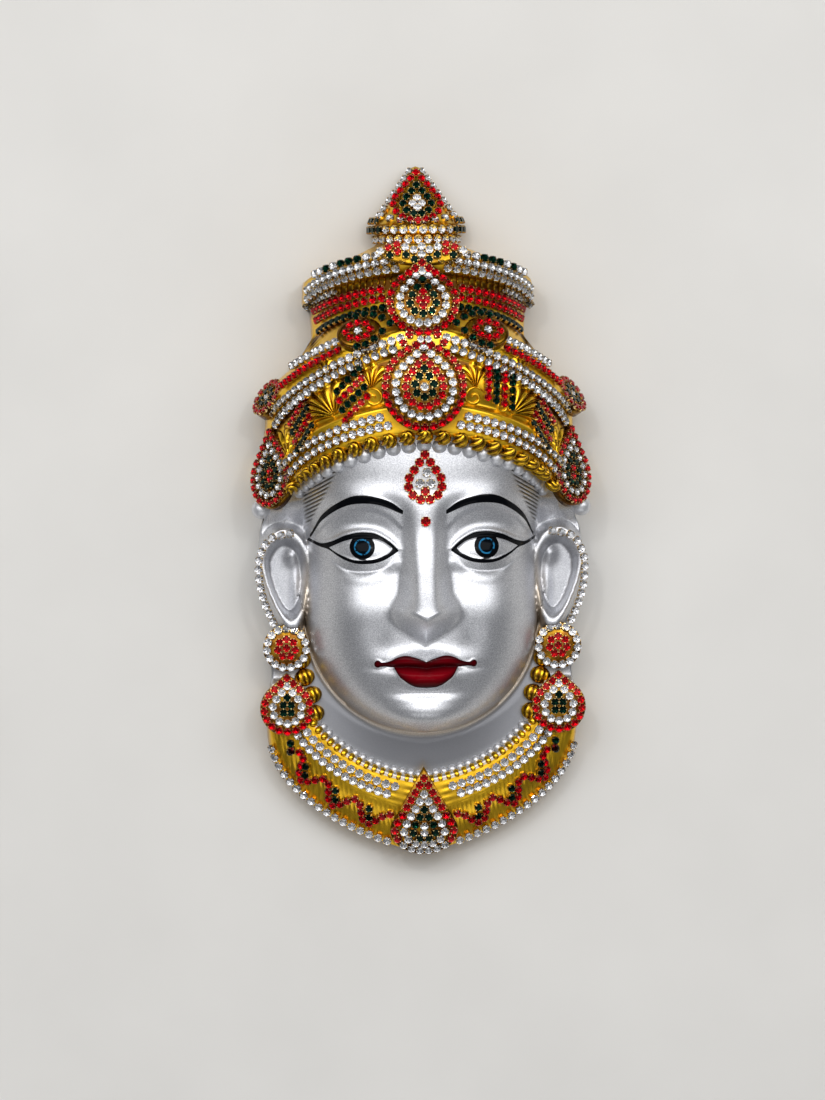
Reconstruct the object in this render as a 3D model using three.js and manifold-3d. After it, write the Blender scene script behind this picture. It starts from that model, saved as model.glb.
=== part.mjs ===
// Goddess face mask with a tall crown and a necklace, lying face up. Millimetres, +X across,
// +Y towards the crown's tip, +Z out of the face. The back rim lies in the plane z = 0.
import * as THREE from "three";
import { mergeVertices } from "three/addons/utils/BufferGeometryUtils.js";
import Module from "manifold-3d";

const wasm = await Module();
wasm.setup();

// Overall size
const HEIGHT = 228.6;
const TOP = HEIGHT / 2;
const WALL = 4;
const RIM_WIDTH = 5;

// Stones: the pitch of a cup chain, the strip that stands for one and its height
const PITCH = 3.2;
const STRIP_FOOT = 1.35;
const STRIP_TOP = 0.95;
const STONE_HEIGHT = 1.7;
const GAP = 0.4;
const STRIP_GAP = 0.8;

// An arc is a curve across the mask: y at the sides, y in the middle, the half width that it
// spans and how round it is (1 is a half ellipse, 0 is a pointed arch).
const arc = (side, middle, reach, round = 0.9) => ({ side, middle, reach, round });
const ARCS = {
  necklaceEdge: arc(-75, -TOP, 51.2, 0.72),
  necklaceInner: arc(-58, -89.3, 41, 0.72),
  jaw: arc(-36, -74.2, 38.5, 1),
  mouth: arc(-30, -53, 40),
  eyes: arc(-14, -12, 45),
  brows: arc(-3, 6, 45),
  crownEdge: arc(1, 24.3, 46),
  browBandTop: arc(10.5, 35, 49),
  archFoot: arc(25.5, 54.8, 50.5, 0.6),
  archTop: arc(33.5, 62.4, 51, 0.6),
  drumFoot: arc(56.4, 68.2, 35.1),
  drumTop: arc(66.6, 77.6, 36.8),
  rimTop: arc(74, 84.4, 38.5),
  neck: arc(88.6, 88.9, 12.6),
};

// Half width of the casting's outline at a height on its sides
const OUTLINE = [
  [-75, 51.2], [-66, 51.6], [-54, 49.6], [-45, 50.4], [-38, 48.2], [-29, 51.6], [-16, 54],
  [-6, 53], [-2, 51.2], [4, 54], [12, 53.6], [28, 50.8], [37, 50.3], [43.4, 46.8],
  [48, 41.2], [55, 35.6], [58, 35.1], [66.8, 35.9], [67.8, 38.3], [74, 38], [79.6, 30],
  [83.4, 22.7], [86.7, 15], [88.6, 12.6],
];

// The crown's tiers from the brow up: the arc, a shift of it in y, the height in the middle and
// the half width of its cross-section, which is half an ellipse
const TIERS = [
  [ARCS.crownEdge, 0, 50, 55],
  [ARCS.crownEdge, 1.5, 52, 56],
  [ARCS.browBandTop, 0, 52, 55.5],
  [ARCS.browBandTop, 1.5, 49.5, 54],
  [ARCS.archFoot, 0, 49.5, 53],
  [ARCS.archFoot, 1.2, 52, 54],
  [ARCS.archTop, 0, 51, 53.5],
  [ARCS.archTop, 2, 47.5, 50],
  [ARCS.drumFoot, 0, 40, 36.6],
  [ARCS.drumTop, 0, 40, 37.4],
  [ARCS.drumTop, 1.2, 43.5, 40],
  [ARCS.rimTop, 0, 43.5, 40],
  [ARCS.neck, 0, 17, 13.4],
];
const LEAST_EDGE = 8;

// Levels of the face and of what lies behind it, in the middle of the mask
const FACE_LEVELS = [[-74, 33], [-70, 38.5], [-64, 40.5], [-53, 42], [-40, 43], [-25, 43],
  [-12, 43.5], [2, 46], [12, 47], [26, 47]];
const FACE_HALF_WIDTHS = [[-34.6, 38.4], [-12, 38], [4, 39.5], [14, 41.5], [30, 44]];
// The jaw's half ellipse: y where it starts and how far down the chin is
const JAW = { top: -34.6, drop: 39.6 };
// The nose: how far its ridge stands out, and the half width of its section, from tip to brow.
// Its underside is a V: y of its foot and of its crest in the middle, and how much a side rises
const NOSE_RIDGE = [[-39, 14.4], [-35, 14.2], [-28, 10.8], [-18, 6.8], [-8, 4], [0, 2], [6, 0]];
const NOSE_WIDTHS = [[-38, 8.2], [-30, 7.3], [-18, 6], [-6, 5.6], [4, 7]];
const NOSE_WING = [6, 9.2, -36.4, 3.7, 5];
const NOSE_UNDERSIDE = { foot: -45.4, crest: -38, slope: 0.5 };
// Mounds and hollows of the face: rise, place across and up, reach across and up
const FACE_MOUNDS = {
  eyeSocket: [-4.5, 19, -8, 13, 8.5],
  eyeball: [5.4, 20.7, -11.8, 11, 7],
  underEye: [-1.1, 20.7, -20.6, 9, 2],
  browRidge: [1.5, 21, 4, 15, 4],
  cheek: [2.4, 23, -33, 11, 11],
  smileFold: [-1.2, 15.5, -43, 4, 6],
  upperLip: [3.6, 0, -49.6, 12, 2.6],
  lowerLip: [4.8, 0, -55.6, 9.5, 3.4],
  mouthLine: [-1.6, 0, -52.3, 15, 1.3],
  chin: [4, 0, -67.5, 9.5, 5.5],
  chinCrease: [-1.8, 0, -61.6, 10, 2.2],
};
const FACE_FOOT = 13;
const NECK_LEVEL = 12;
// The neck swells towards the jaw: its rise, its half width and how far up it reaches its height
const NECK = { rise: 3, width: 26, reach: 12 };
const BAND_LEVEL = 15;
const EDGE_LEVEL = 6;
// The ear's oval: middle, half width and half height, the levels of its rim and its hollow, and
// how much nearer the face and narrower its lobe is, which starts at lobeTop
const EAR = {
  x: 46.6, y: -21.5, halfWidth: 8, halfHeight: 17.5, rim: 19, hollow: 11.5,
  lobeTop: -16, lobeLength: 23, lobeShift: 2.6, lobeTaper: 3.2,
};
// The temple's ramp from the neck plate up to the brow: its rise, y at its foot and its crest,
// where it starts to fall away to the side and how far that takes
const TEMPLE = { rise: 10, foot: -6, crest: 2, inner: 42, fall: 14 };

const clamp = (t) => Math.min(Math.max(t, 0), 1);
const mix = (a, b, t) => a + (b - a) * t;
const ease = (t) => clamp(t) ** 2 * (3 - 2 * clamp(t));
const step = (from, to, v) => ease((v - from) / (to - from));

/** Height of a round hill at a point: its rise, fading with the distance as a bell curve. */
const mound = ([rise, cx, cy, rx, ry], x, y) => (
  rise * Math.exp(-(((x - cx) / rx) ** 2) - ((y - cy) / ry) ** 2));

/** Value of a broken line through [place, value] pairs. */
function along(pairs, place) {
  if (place <= pairs[0][0]) return pairs[0][1];
  for (let i = 1; i < pairs.length; i++) {
    const [from, low] = pairs[i - 1];
    const [to, high] = pairs[i];
    if (place <= to) return mix(low, high, (place - from) / (to - from));
  }
  return pairs[pairs.length - 1][1];
}

/** y of an arc at x: side + (middle - side) times a mix of an ellipse and a straight slope. */
function arcY(a, x) {
  const u = Math.min(Math.abs(x) / a.reach, 1);
  return mix(a.side, a.middle, a.round * Math.sqrt(1 - u * u) + (1 - a.round) * (1 - u));
}

/** Crown surface: half ellipses whose height and half width change from tier to tier. */
function crownHeight(x, y) {
  let below = TIERS[0];
  for (const tier of TIERS) {
    if (y <= arcY(tier[0], x) + tier[1]) {
      const low = arcY(below[0], x) + below[1];
      const t = tier === below ? 0 : clamp((y - low) / (arcY(tier[0], x) + tier[1] - low));
      const half = mix(below[3], tier[3], t);
      const across = Math.sqrt(Math.max(1 - (x / half) ** 2, 0));
      return Math.max(mix(below[2], tier[2], t) * across, LEAST_EDGE);
    }
    below = tier;
  }
  return Math.max(below[2] * Math.sqrt(Math.max(1 - (x / below[3]) ** 2, 0)), LEAST_EDGE);
}

/** Half width of the face's dome: the cheeks, closing to the chin as half an ellipse. */
function faceHalfWidth(y) {
  const down = clamp((JAW.top - y) / JAW.drop);
  return along(FACE_HALF_WIDTHS, y) * Math.sqrt(1 - down * down);
}

/** The nose: a ridge with a flat top and its two wings, cut off below along a V. */
function noseHeight(x, y) {
  const side = Math.abs(x);
  const ridge = along(NOSE_RIDGE, y) * Math.exp(-((side / along(NOSE_WIDTHS, y)) ** 2.6));
  const { foot, crest, slope } = NOSE_UNDERSIDE;
  return (ridge + mound(NOSE_WING, side, y)) * step(foot, crest, y - slope * side);
}

/** The features that stand out of the face's dome or sink into it. */
function features(x, y) {
  const hills = Object.values(FACE_MOUNDS);
  return hills.reduce((sum, one) => sum + mound(one, Math.abs(x), y), noseHeight(x, y));
}

/** Ear: an upright oval, narrower at its lobe, whose rim stands over a hollow. */
function earHeight(x, y) {
  const lobe = clamp((EAR.lobeTop - y) / EAR.lobeLength);
  const middle = EAR.x - EAR.lobeShift * lobe;
  const across = (Math.abs(x) - middle) / (EAR.halfWidth - EAR.lobeTaper * lobe);
  const r = Math.hypot(across, (y - EAR.y) / EAR.halfHeight);
  const rim = mix(EAR.hollow, EAR.rim, step(0.5, 0.82, r));
  return mix(rim, NECK_LEVEL, step(1, 1.25, r));
}

/** Below the crown: the face's dome over the ears, the neck plate and the necklace's band. */
function faceHeight(x, y) {
  const half = faceHalfWidth(y);
  const across = half > 0 ? Math.max(1 - (Math.abs(x) / half) ** 2.5, 0) ** 0.5 : 0;
  const dome = FACE_FOOT + (along(FACE_LEVELS, y) - FACE_FOOT) * across;
  const face = across > 0 ? dome + features(x, y) * step(0.1, 0.5, across) : 0;
  const inner = arcY(ARCS.necklaceInner, x);
  const outer = arcY(ARCS.necklaceEdge, x);
  const band = BAND_LEVEL - (BAND_LEVEL - EDGE_LEVEL) * clamp((inner - y) / (inner - outer)) ** 3;
  const swell = NECK.rise * Math.exp(-((x / NECK.width) ** 2)) * clamp((y - inner) / NECK.reach);
  const plate = mix(NECK_LEVEL + swell, band, step(inner + 1.5, inner, y));
  const ear = y > EAR.y - EAR.halfHeight ? earHeight(x, y) : 0;
  const inward = clamp(1 - (Math.abs(x) - TEMPLE.inner) / TEMPLE.fall);
  const ramp = NECK_LEVEL + TEMPLE.rise * step(TEMPLE.foot, TEMPLE.crest, y) * inward;
  return Math.max(face, plate, ear, y > TEMPLE.foot ? ramp : 0);
}

/** Height of the casting's front over the back plane. */
function height(x, y) {
  return y > arcY(ARCS.crownEdge, x) ? crownHeight(x, y) : faceHeight(x, y);
}

/** Volume inside a closed mesh, negative where its faces point inwards. */
function signedVolume(points, faces) {
  const [a, b, c] = [new THREE.Vector3(), new THREE.Vector3(), new THREE.Vector3()];
  return faces.reduce((sum, [i, j, k]) => {
    a.fromArray(points[i]);
    b.fromArray(points[j]);
    return sum + a.dot(b.cross(c.fromArray(points[k]))) / 6;
  }, 0);
}

/** Closed mesh from vertices and triangles as a solid, its faces turned to point outwards. */
function solid(points, faces) {
  const outwards = signedVolume(points, faces) > 0;
  const turned = outwards ? faces : faces.map(([a, b, c]) => [a, c, b]);
  return new wasm.Manifold(new wasm.Mesh({
    numProp: 3,
    vertProperties: new Float32Array(points.flat()),
    triVerts: new Uint32Array(turned.flat()),
  }));
}

/** Solid of one of the library's own geometries, with its shared vertices merged. */
function solidOf(geometry) {
  geometry.deleteAttribute("normal");
  geometry.deleteAttribute("uv");
  const merged = mergeVertices(geometry, 1e-4);
  return new wasm.Manifold(new wasm.Mesh({
    numProp: 3,
    vertProperties: new Float32Array(merged.attributes.position.array),
    triVerts: new Uint32Array(merged.index.array),
  }));
}

/** Solid between a sheet of rows of points and a flat floor under the sheet's outline. */
function sheetSolid(rows, floor) {
  const points = rows.flat();
  const columns = rows[0].length;
  const faces = [];
  for (let i = 0; i + 1 < rows.length; i++) {
    for (let j = 0; j + 1 < columns; j++) {
      const a = i * columns + j;
      const b = a + columns;
      const swap = (i < rows.length / 2) === (j < columns / 2);
      if (swap) faces.push([a, a + 1, b + 1], [a, b + 1, b]);
      else faces.push([a, a + 1, b], [a + 1, b + 1, b]);
    }
  }
  const last = (rows.length - 1) * columns;
  const loop = [];
  for (let j = 0; j < columns; j++) loop.push(j);
  for (let i = 1; i < rows.length; i++) loop.push(i * columns + columns - 1);
  for (let j = columns - 2; j >= 0; j--) loop.push(last + j);
  for (let i = rows.length - 2; i > 0; i--) loop.push(i * columns);
  const foot = points.length;
  for (const k of loop) points.push([points[k][0], points[k][1], floor]);
  for (let k = 0; k < loop.length; k++) {
    const next = (k + 1) % loop.length;
    faces.push([loop[k], foot + k, foot + next], [loop[k], foot + next, loop[next]]);
  }
  const outline = loop.map((k) => new THREE.Vector2(points[k][0], points[k][1]));
  for (const [a, b, c] of THREE.ShapeUtils.triangulateShape(outline, [])) {
    faces.push([foot + a, foot + c, foot + b]);
  }
  return solid(points, faces);
}

/** Arcs between two arcs, for the rows of a sheet. */
function arcsBetween(from, to, count) {
  return Array.from({ length: count }, (_, i) => {
    const t = i / count;
    return arc(mix(from.side, to.side, t), mix(from.middle, to.middle, t),
      mix(from.reach, to.reach, t), mix(from.round, to.round, t));
  });
}

const shifted = (a, dy) => arc(a.side + dy, a.middle + dy, a.reach, a.round);

// Rows of the front's mesh: each pair of arcs and how many rows the stretch after it takes
const ROW_PLAN = [
  [ARCS.necklaceEdge, 3], [shifted(ARCS.necklaceInner, -0.5), 1],
  [shifted(ARCS.necklaceInner, 1.5), 2], [shifted(ARCS.jaw, -2), 1], [ARCS.jaw, 1],
  [shifted(ARCS.jaw, 2.5), 5], [ARCS.mouth, 11], [ARCS.eyes, 5], [ARCS.brows, 3],
  [shifted(ARCS.crownEdge, -0.3), 1], [shifted(ARCS.crownEdge, 1.5), 1], [ARCS.browBandTop, 1],
  [shifted(ARCS.browBandTop, 1.5), 2], [ARCS.archFoot, 1], [shifted(ARCS.archFoot, 1.2), 1],
  [ARCS.archTop, 1], [shifted(ARCS.archTop, 2), 2], [ARCS.drumFoot, 1], [ARCS.drumTop, 1],
  [shifted(ARCS.drumTop, 1.2), 1], [ARCS.rimTop, 2], [ARCS.neck, 1],
];
const COLUMNS = 30;
const CENTRE_DENSITY = 0.72;

/** Rows of points on the front, each along an arc and out to the outline. */
function frontRows() {
  const rows = [];
  for (let k = 0; k < ROW_PLAN.length; k++) {
    const [from, count] = ROW_PLAN[k];
    const to = ROW_PLAN[Math.min(k + 1, ROW_PLAN.length - 1)][0];
    for (const a of arcsBetween(from, to, count)) {
      const half = along(OUTLINE, a.side);
      rows.push(Array.from({ length: COLUMNS + 1 }, (_, j) => {
        const t = (2 * j) / COLUMNS - 1;
        const x = half * t * (CENTRE_DENSITY + (1 - CENTRE_DENSITY) * t * t);
        const y = arcY(a, x);
        return [x, y, height(x, y)];
      }));
    }
  }
  return rows;
}

// Hollow at the back: it follows the front at the wall's thickness
const CAVITY_ROWS = 20;
const CAVITY_COLUMNS = 16;
const CAVITY_LOW = arc(-71, -107, 46, 0.72);
const CAVITY_HIGH = arc(69.5, 77, 31);

/** The front's least height in two rings round a point, less the wall. */
function cavityHeight(x, y) {
  let least = Infinity;
  for (const radius of [WALL * 0.9, WALL * 1.7]) {
    for (let k = 0; k < 8; k++) {
      const turn = (k * Math.PI) / 4;
      least = Math.min(least, height(x + radius * Math.cos(turn), y + radius * Math.sin(turn)));
    }
  }
  return Math.max(least - WALL, 2);
}

function cavityRows() {
  const rows = [];
  for (let i = 0; i <= CAVITY_ROWS; i++) {
    const t = i / CAVITY_ROWS;
    const middle = mix(CAVITY_LOW.middle, CAVITY_HIGH.middle, t);
    const share = (middle - CAVITY_LOW.middle) / (CAVITY_HIGH.middle - CAVITY_LOW.middle);
    const a = arc(mix(CAVITY_LOW.side, CAVITY_HIGH.side, share), middle,
      mix(CAVITY_LOW.reach, CAVITY_HIGH.reach, share), mix(CAVITY_LOW.round, 0.9, share));
    let half = Infinity;
    for (const dy of [-RIM_WIDTH, 0, RIM_WIDTH]) {
      half = Math.min(half, along(OUTLINE, a.side + dy) - RIM_WIDTH);
    }
    rows.push(Array.from({ length: CAVITY_COLUMNS + 1 }, (_, j) => {
      const x = half * ((2 * j) / CAVITY_COLUMNS - 1);
      const y = arcY(a, x);
      return [x, y, cavityHeight(x, y)];
    }));
  }
  return rows;
}

// Finial: a flared neck, a rim and a cone, half sunk into the back plane
const FINIAL = { axisHeight: 5, neckRadius: 12.6, rimRadius: 15, rimTop: 94, foot: 84, sides: 24 };

function finial() {
  const profile = [
    [0, FINIAL.foot], [9, FINIAL.foot], [FINIAL.neckRadius, 88.4], [FINIAL.neckRadius, 90.4],
    [FINIAL.rimRadius, 92.2], [FINIAL.rimRadius, FINIAL.rimTop], [10.4, 100], [6.4, 106.6],
    [1.2, 113.8], [0, TOP],
  ];
  const lathe = new THREE.LatheGeometry(
    profile.map(([r, y]) => new THREE.Vector2(r, y)), FINIAL.sides);
  lathe.translate(0, 0, FINIAL.axisHeight);
  const below = new THREE.BoxGeometry(100, 100, 50);
  below.translate(0, 100, -25);
  return solidOf(lathe).subtract(solidOf(below));
}

// Outlines of stone clusters: radius as a function of the angle from straight up, on a unit size
const round = () => 1;

/** A circle whose tangents meet in a point above it, at a distance given in its radii. */
const teardrop = (point) => (angle) => {
  const tangent = Math.acos(1 / point);
  const away = Math.min(angle, 2 * Math.PI - angle);
  return away < tangent ? 1 / Math.cos(tangent - away) : 1;
};

/** Points of an outline at a share of its size, with half width and half height. */
function outlinePoints(form, halfWidth, halfHeight, share, sides) {
  return Array.from({ length: sides }, (_, k) => {
    const angle = (2 * Math.PI * k) / sides;
    const r = form(angle) * share;
    return [halfWidth * r * Math.sin(angle), halfHeight * r * Math.cos(angle)];
  });
}

/**
 * Domed plate: rings of an outline from the middle out. place(s, t, h) turns the plate's own
 * across, up and height into a point. bottom and top are heights as functions of the share.
 */
function plate(form, halfWidth, halfHeight, place, bottom, top, sides = 16, shares = [1]) {
  const points = [place(0, 0, top(0)), place(0, 0, bottom(0))];
  const rings = [];
  for (const lift of [top, bottom]) {
    for (const share of shares) {
      rings.push(points.length);
      const ring = outlinePoints(form, halfWidth, halfHeight, share, sides);
      for (const [s, t] of ring) points.push(place(s, t, lift(share)));
    }
  }
  const count = shares.length;
  const faces = [];
  for (let k = 0; k < sides; k++) {
    const n = (k + 1) % sides;
    faces.push([0, rings[0] + n, rings[0] + k], [1, rings[count] + k, rings[count] + n]);
    for (let r = 0; r + 1 < count; r++) {
      const [a, b] = [rings[r], rings[r + 1]];
      faces.push([a + k, a + n, b + n], [a + k, b + n, b + k]);
      const [c, d] = [rings[count + r], rings[count + r + 1]];
      faces.push([c + k, d + n, c + n], [c + k, d + k, d + n]);
    }
    const [e, f] = [rings[count - 1], rings[2 * count - 1]];
    faces.push([e + k, e + n, f + n], [e + k, f + n, f + k]);
  }
  return solid(points, faces);
}

const flat = (h) => () => h;
const domed = (edge, rise) => (share) => edge + rise * (1 - share * share);

// Raised pads of the casting that carry stones: centre, half width, half height, how far the
// point is, heights of the low and the high end, and the dome's rise
const pad = (x, y, halfWidth, halfHeight, point, low, high, dome) => (
  { x, y, halfWidth, halfHeight, form: point > 1 ? teardrop(point) : round, low, high, dome });
const PADS = {
  upperDrop: pad(0, 69, 12.1, 11.1, 1.28, 51.5, 46, 2.5),
  lowerDrop: pad(0, 40.4, 13, 13.6, 1.17, 53, 51.5, 3),
  stud: (m) => pad(m * 45.2, -45.6, 6.7, 6.7, 1, 16, 16, 0.8),
  earDrop: (m) => pad(m * 45.2, -65.8, 7.9, 7.9, 1.35, 16.5, 17, 0.8),
  pendant: pad(0, -106.6, 10.2, 6.8, 2.7, 12.5, 17, 1.2),
};
const PAD_SIDES = 16;
const PAD_MARGIN = 0.5;
const PAD_DEPTH = 12;

/** Height of a pad: a slope from its low to its high end with a shallow dome. */
function padHeight(p, s, t) {
  const share = Math.min(Math.hypot(s / p.halfWidth, t / p.halfHeight), 1);
  const slope = mix(p.low, p.high, clamp(t / (2 * p.halfHeight) + 0.5));
  return slope + p.dome * (1 - share * share);
}

const onPad = (p) => (s, t, h) => [p.x + s, p.y + t, padHeight(p, s, t) + h];

const padSolid = (p) => plate(p.form, p.halfWidth + PAD_MARGIN, p.halfHeight + PAD_MARGIN,
  onPad(p), () => -PAD_DEPTH, () => 0, PAD_SIDES);

/** The stones that cover a pad, as one domed plate just clear of it. */
const padStones = (p) => plate(p.form, p.halfWidth, p.halfHeight, onPad(p), flat(GAP),
  domed(GAP + STONE_HEIGHT, 0.3), PAD_SIDES);

// Carving: the leaf beads under the brow rows and the fans on the band between brow and arch
const BEAD = { pitch: 4.8, width: 1.9, length: 2.3, height: 1.5, reach: 42, above: 0.6, sunk: 0.4 };
const FAN = { x: 33.5, foot: 26, lobes: 5, spread: 1.9, width: 1.4, length: 4.6, height: 1.3 };

/** Normal of the front's form at a point. */
function formNormal(x, y) {
  const d = 1.5;
  const dx = (height(x + d, y) - height(x - d, y)) / (2 * d);
  const dy = (height(x, y + d) - height(x, y - d)) / (2 * d);
  return new THREE.Vector3(-dx, -dy, 1).normalize();
}

/** A raised lobe of the carving, half sunk in the front and turned about its normal. */
function lobe(x, y, form, turn, from = height(x, y)) {
  const geometry = new THREE.IcosahedronGeometry(1, 0);
  geometry.scale(form.width, form.length, form.height);
  geometry.rotateZ(turn);
  const up = formNormal(x, y);
  geometry.applyQuaternion(new THREE.Quaternion().setFromUnitVectors(
    new THREE.Vector3(0, 0, 1), up));
  geometry.translate(x, y, from);
  return solidOf(geometry);
}

/** x of places on an arc, from the middle out, a pitch apart along the surface over it. */
function evenPlaces(line, reach, pitch) {
  const stride = 0.1;
  const places = [0];
  let walked = 0;
  for (let x = stride; x <= reach; x += stride) {
    const [y, before] = [arcY(line, x), arcY(line, x - stride)];
    const climb = crownHeight(x, y + 1) - crownHeight(x - stride, before + 1);
    walked += Math.hypot(stride, y - before, climb);
    if (walked >= pitch * places.length) places.push(x);
  }
  return places;
}

/** Leaf beads spaced evenly along the crown's lower edge, upright to it. */
function edgeBeads() {
  const line = shifted(ARCS.crownEdge, BEAD.above);
  const half = evenPlaces(line, BEAD.reach, BEAD.pitch);
  return [...half.slice(1).map((x) => -x), ...half].map((x) => {
    const y = arcY(line, x);
    const slope = (arcY(line, x + 1) - arcY(line, x - 1)) / 2;
    return lobe(x, y, BEAD, Math.atan(slope), crownHeight(x, y + 1) - BEAD.sunk);
  });
}

/** Fan leaves: lobes that spread from one foot, on both sides of the lower medallion. */
function fans() {
  const lobes = [];
  for (const m of [-1, 1]) {
    for (let i = 0; i < FAN.lobes; i++) {
      const angle = mix(-FAN.spread / 2, FAN.spread / 2, i / (FAN.lobes - 1));
      const x = m * FAN.x + FAN.length * Math.sin(angle);
      const y = FAN.foot + FAN.length * Math.cos(angle);
      lobes.push(lobe(x, y, FAN, -angle));
    }
  }
  return lobes;
}

/** The casting: the front's sheet, the pads and the finial, less the hollow at the back. */
function castBody() {
  const carved = [...edgeBeads(), ...fans()].reduce((all, one) => all.add(one),
    sheetSolid(frontRows(), 0));
  return carved
    .add(padSolid(PADS.upperDrop)).add(padSolid(PADS.lowerDrop)).add(padSolid(PADS.pendant))
    .add(padSolid(PADS.stud(-1))).add(padSolid(PADS.stud(1)))
    .add(padSolid(PADS.earDrop(-1))).add(padSolid(PADS.earDrop(1)))
    .add(finial())
    .subtract(sheetSolid(cavityRows(), -2));
}

const body = castBody();
const bodyMesh = body.getMesh();

/** Height of the finished casting's own facets over a point, or of the form where it has none. */
function facetHeight(x, y) {
  const { vertProperties: v, triVerts: f } = bodyMesh;
  let best = -Infinity;
  for (let i = 0; i < f.length; i += 3) {
    const [a, b, c] = [f[i] * 3, f[i + 1] * 3, f[i + 2] * 3];
    const d = (v[b + 1] - v[c + 1]) * (v[a] - v[c]) + (v[c] - v[b]) * (v[a + 1] - v[c + 1]);
    if (Math.abs(d) < 1e-9) continue;
    const p = ((v[b + 1] - v[c + 1]) * (x - v[c]) + (v[c] - v[b]) * (y - v[c + 1])) / d;
    const q = ((v[c + 1] - v[a + 1]) * (x - v[c]) + (v[a] - v[c]) * (y - v[c + 1])) / d;
    if (p < -1e-6 || q < -1e-6 || p + q > 1 + 1e-6) continue;
    best = Math.max(best, p * v[a + 2] + q * v[b + 2] + (1 - p - q) * v[c + 2]);
  }
  return best > -Infinity ? best : height(x, y);
}

/** Outward direction of the casting's front at a point, over a few millimetres round it. */
function frontNormal(x, y) {
  const d = 2;
  const dx = (facetHeight(x + d, y) - facetHeight(x - d, y)) / (2 * d);
  const dy = (facetHeight(x, y + d) - facetHeight(x, y - d)) / (2 * d);
  return new THREE.Vector3(-dx, -dy, 1).normalize();
}

const frontPoint = (x, y) => new THREE.Vector3(x, y, facetHeight(x, y));

/** Triangles of a closed tube: a section of four points carried along a number of steps. */
function tubeFaces(steps) {
  const faces = [];
  for (let i = 0; i < steps; i++) {
    for (let k = 0; k < 4; k++) {
      const [a, b] = [i * 4 + k, i * 4 + ((k + 1) % 4)];
      faces.push([a, b, b + 4], [a, b + 4, a + 4]);
    }
  }
  const end = steps * 4;
  faces.push([0, 2, 1], [0, 3, 2], [end, end + 1, end + 2], [end, end + 2, end + 3]);
  return faces;
}

/** A strip of stones along points [x, y] on the front. */
function strip(route, width = 1) {
  const centres = route.map(([x, y]) => frontPoint(x, y));
  const points = [];
  route.forEach(([x, y], i) => {
    const forward = centres[Math.min(i + 1, centres.length - 1)].clone()
      .sub(centres[Math.max(i - 1, 0)]).normalize();
    const up = frontNormal(x, y);
    const across = new THREE.Vector3().crossVectors(forward, up).normalize();
    const lift = new THREE.Vector3().crossVectors(across, forward).normalize();
    const foot = centres[i].clone().addScaledVector(lift, STRIP_GAP);
    const crest = foot.clone().addScaledVector(lift, STONE_HEIGHT);
    for (const [base, half] of [[foot, -STRIP_FOOT], [foot, STRIP_FOOT],
      [crest, STRIP_TOP], [crest, -STRIP_TOP]]) {
      const reach = half + Math.sign(half) * (width - 1) * PITCH * 0.5;
      points.push(base.clone().addScaledVector(across, reach).toArray());
    }
  });
  return solid(points, tubeFaces(route.length - 1));
}

/** Points of an arc from one x to another, moved off it at right angles. */
function onArc(a, away, from, to, steps) {
  const d = 0.5;
  return Array.from({ length: steps + 1 }, (_, i) => {
    const x = mix(from, to, i / steps);
    const slope = (arcY(a, x + d) - arcY(a, x - d)) / (2 * d);
    const scale = away / Math.hypot(slope, 1);
    return [x - slope * scale, arcY(a, x) + scale];
  });
}

/** Evenly spaced points through a few chosen ones, on a smooth curve. */
function through(points, steps) {
  const curve = new THREE.CatmullRomCurve3(points.map(([x, y]) => new THREE.Vector3(x, y, 0)));
  return curve.getSpacedPoints(steps).map((p) => [p.x, p.y]);
}

/** Places a plate on the front round (x, y), bent along its surface from the middle out. */
function draped(x, y) {
  const middle = frontPoint(x, y);
  const up = frontNormal(x, y);
  const across = new THREE.Vector3(1, 0, 0).addScaledVector(up, -up.x).normalize();
  const upward = new THREE.Vector3().crossVectors(up, across);
  return (s, t, h) => {
    const flat = middle.clone().addScaledVector(across, s).addScaledVector(upward, t);
    const surface = frontPoint(flat.x, flat.y);
    const drop = surface.clone().sub(flat).dot(up);
    const depth = Math.min(Math.max(drop, -4), 1);
    return flat.addScaledVector(up, depth + h).toArray();
  };
}

// Colours of the casting and of the stones
const FINISH = {
  silver: { color: "#c9ccd2", roughness: 0.35, metalness: 0.8 },
  clear: { color: "#e6e8ee", roughness: 0.15, metalness: 0.3 },
  red: { color: "#b3122a", roughness: 0.15, metalness: 0.2 },
  green: { color: "#0c3a2c", roughness: 0.15, metalness: 0.2 },
};

// Straight runs of cup chain: the line they follow, how far off it they lie, from where to where
// across the mask, their colour and how many stones wide they are
const run = (line, away, from, to, finish, width = 1) => ({ line, away, from, to, finish, width });
const RUNS = {
  roof_stones: run(arc(74, 86.6, 33), 0, 9, 26, "green"),
  rim_chain_upper: run(ARCS.rimTop, -1.6, 12.8, 36.6, "clear"),
  rim_chain_lower: run(ARCS.drumTop, 1.8, 14.5, 36.4, "clear"),
  drum_red_band: run(ARCS.drumFoot, 5.5, 15.5, 32, "red", 1.7),
  drum_green_chain: run(ARCS.drumFoot, 1.2, 15.5, 33.4, "green"),
  shoulder_chain: run(ARCS.archTop, 5, 28, 37, "clear"),
  arch_red_chain: run(ARCS.archTop, 1.6, 31, 42.5, "red"),
  arch_chain_outer: run(ARCS.archTop, -2.2, 15.5, 45.2, "clear"),
  arch_chain_inner: run(ARCS.archFoot, 1.9, 14.5, 49.4, "clear"),
  brow_chain_upper: run(arc(8, 32.4, 48), 0, 16, 43.4, "clear"),
  brow_chain_lower: run(arc(4, 29, 48), 0, 15.5, 44.8, "clear"),
  collar_chain_inner: run(ARCS.necklaceInner, -2.6, 11, 34, "clear"),
  collar_chain_outer: run(ARCS.necklaceInner, -6.1, 11, 32.5, "clear"),
  necklace_edge_chain: run(ARCS.necklaceEdge, 2.4, 12.5, 49.4, "clear"),
};
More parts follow.
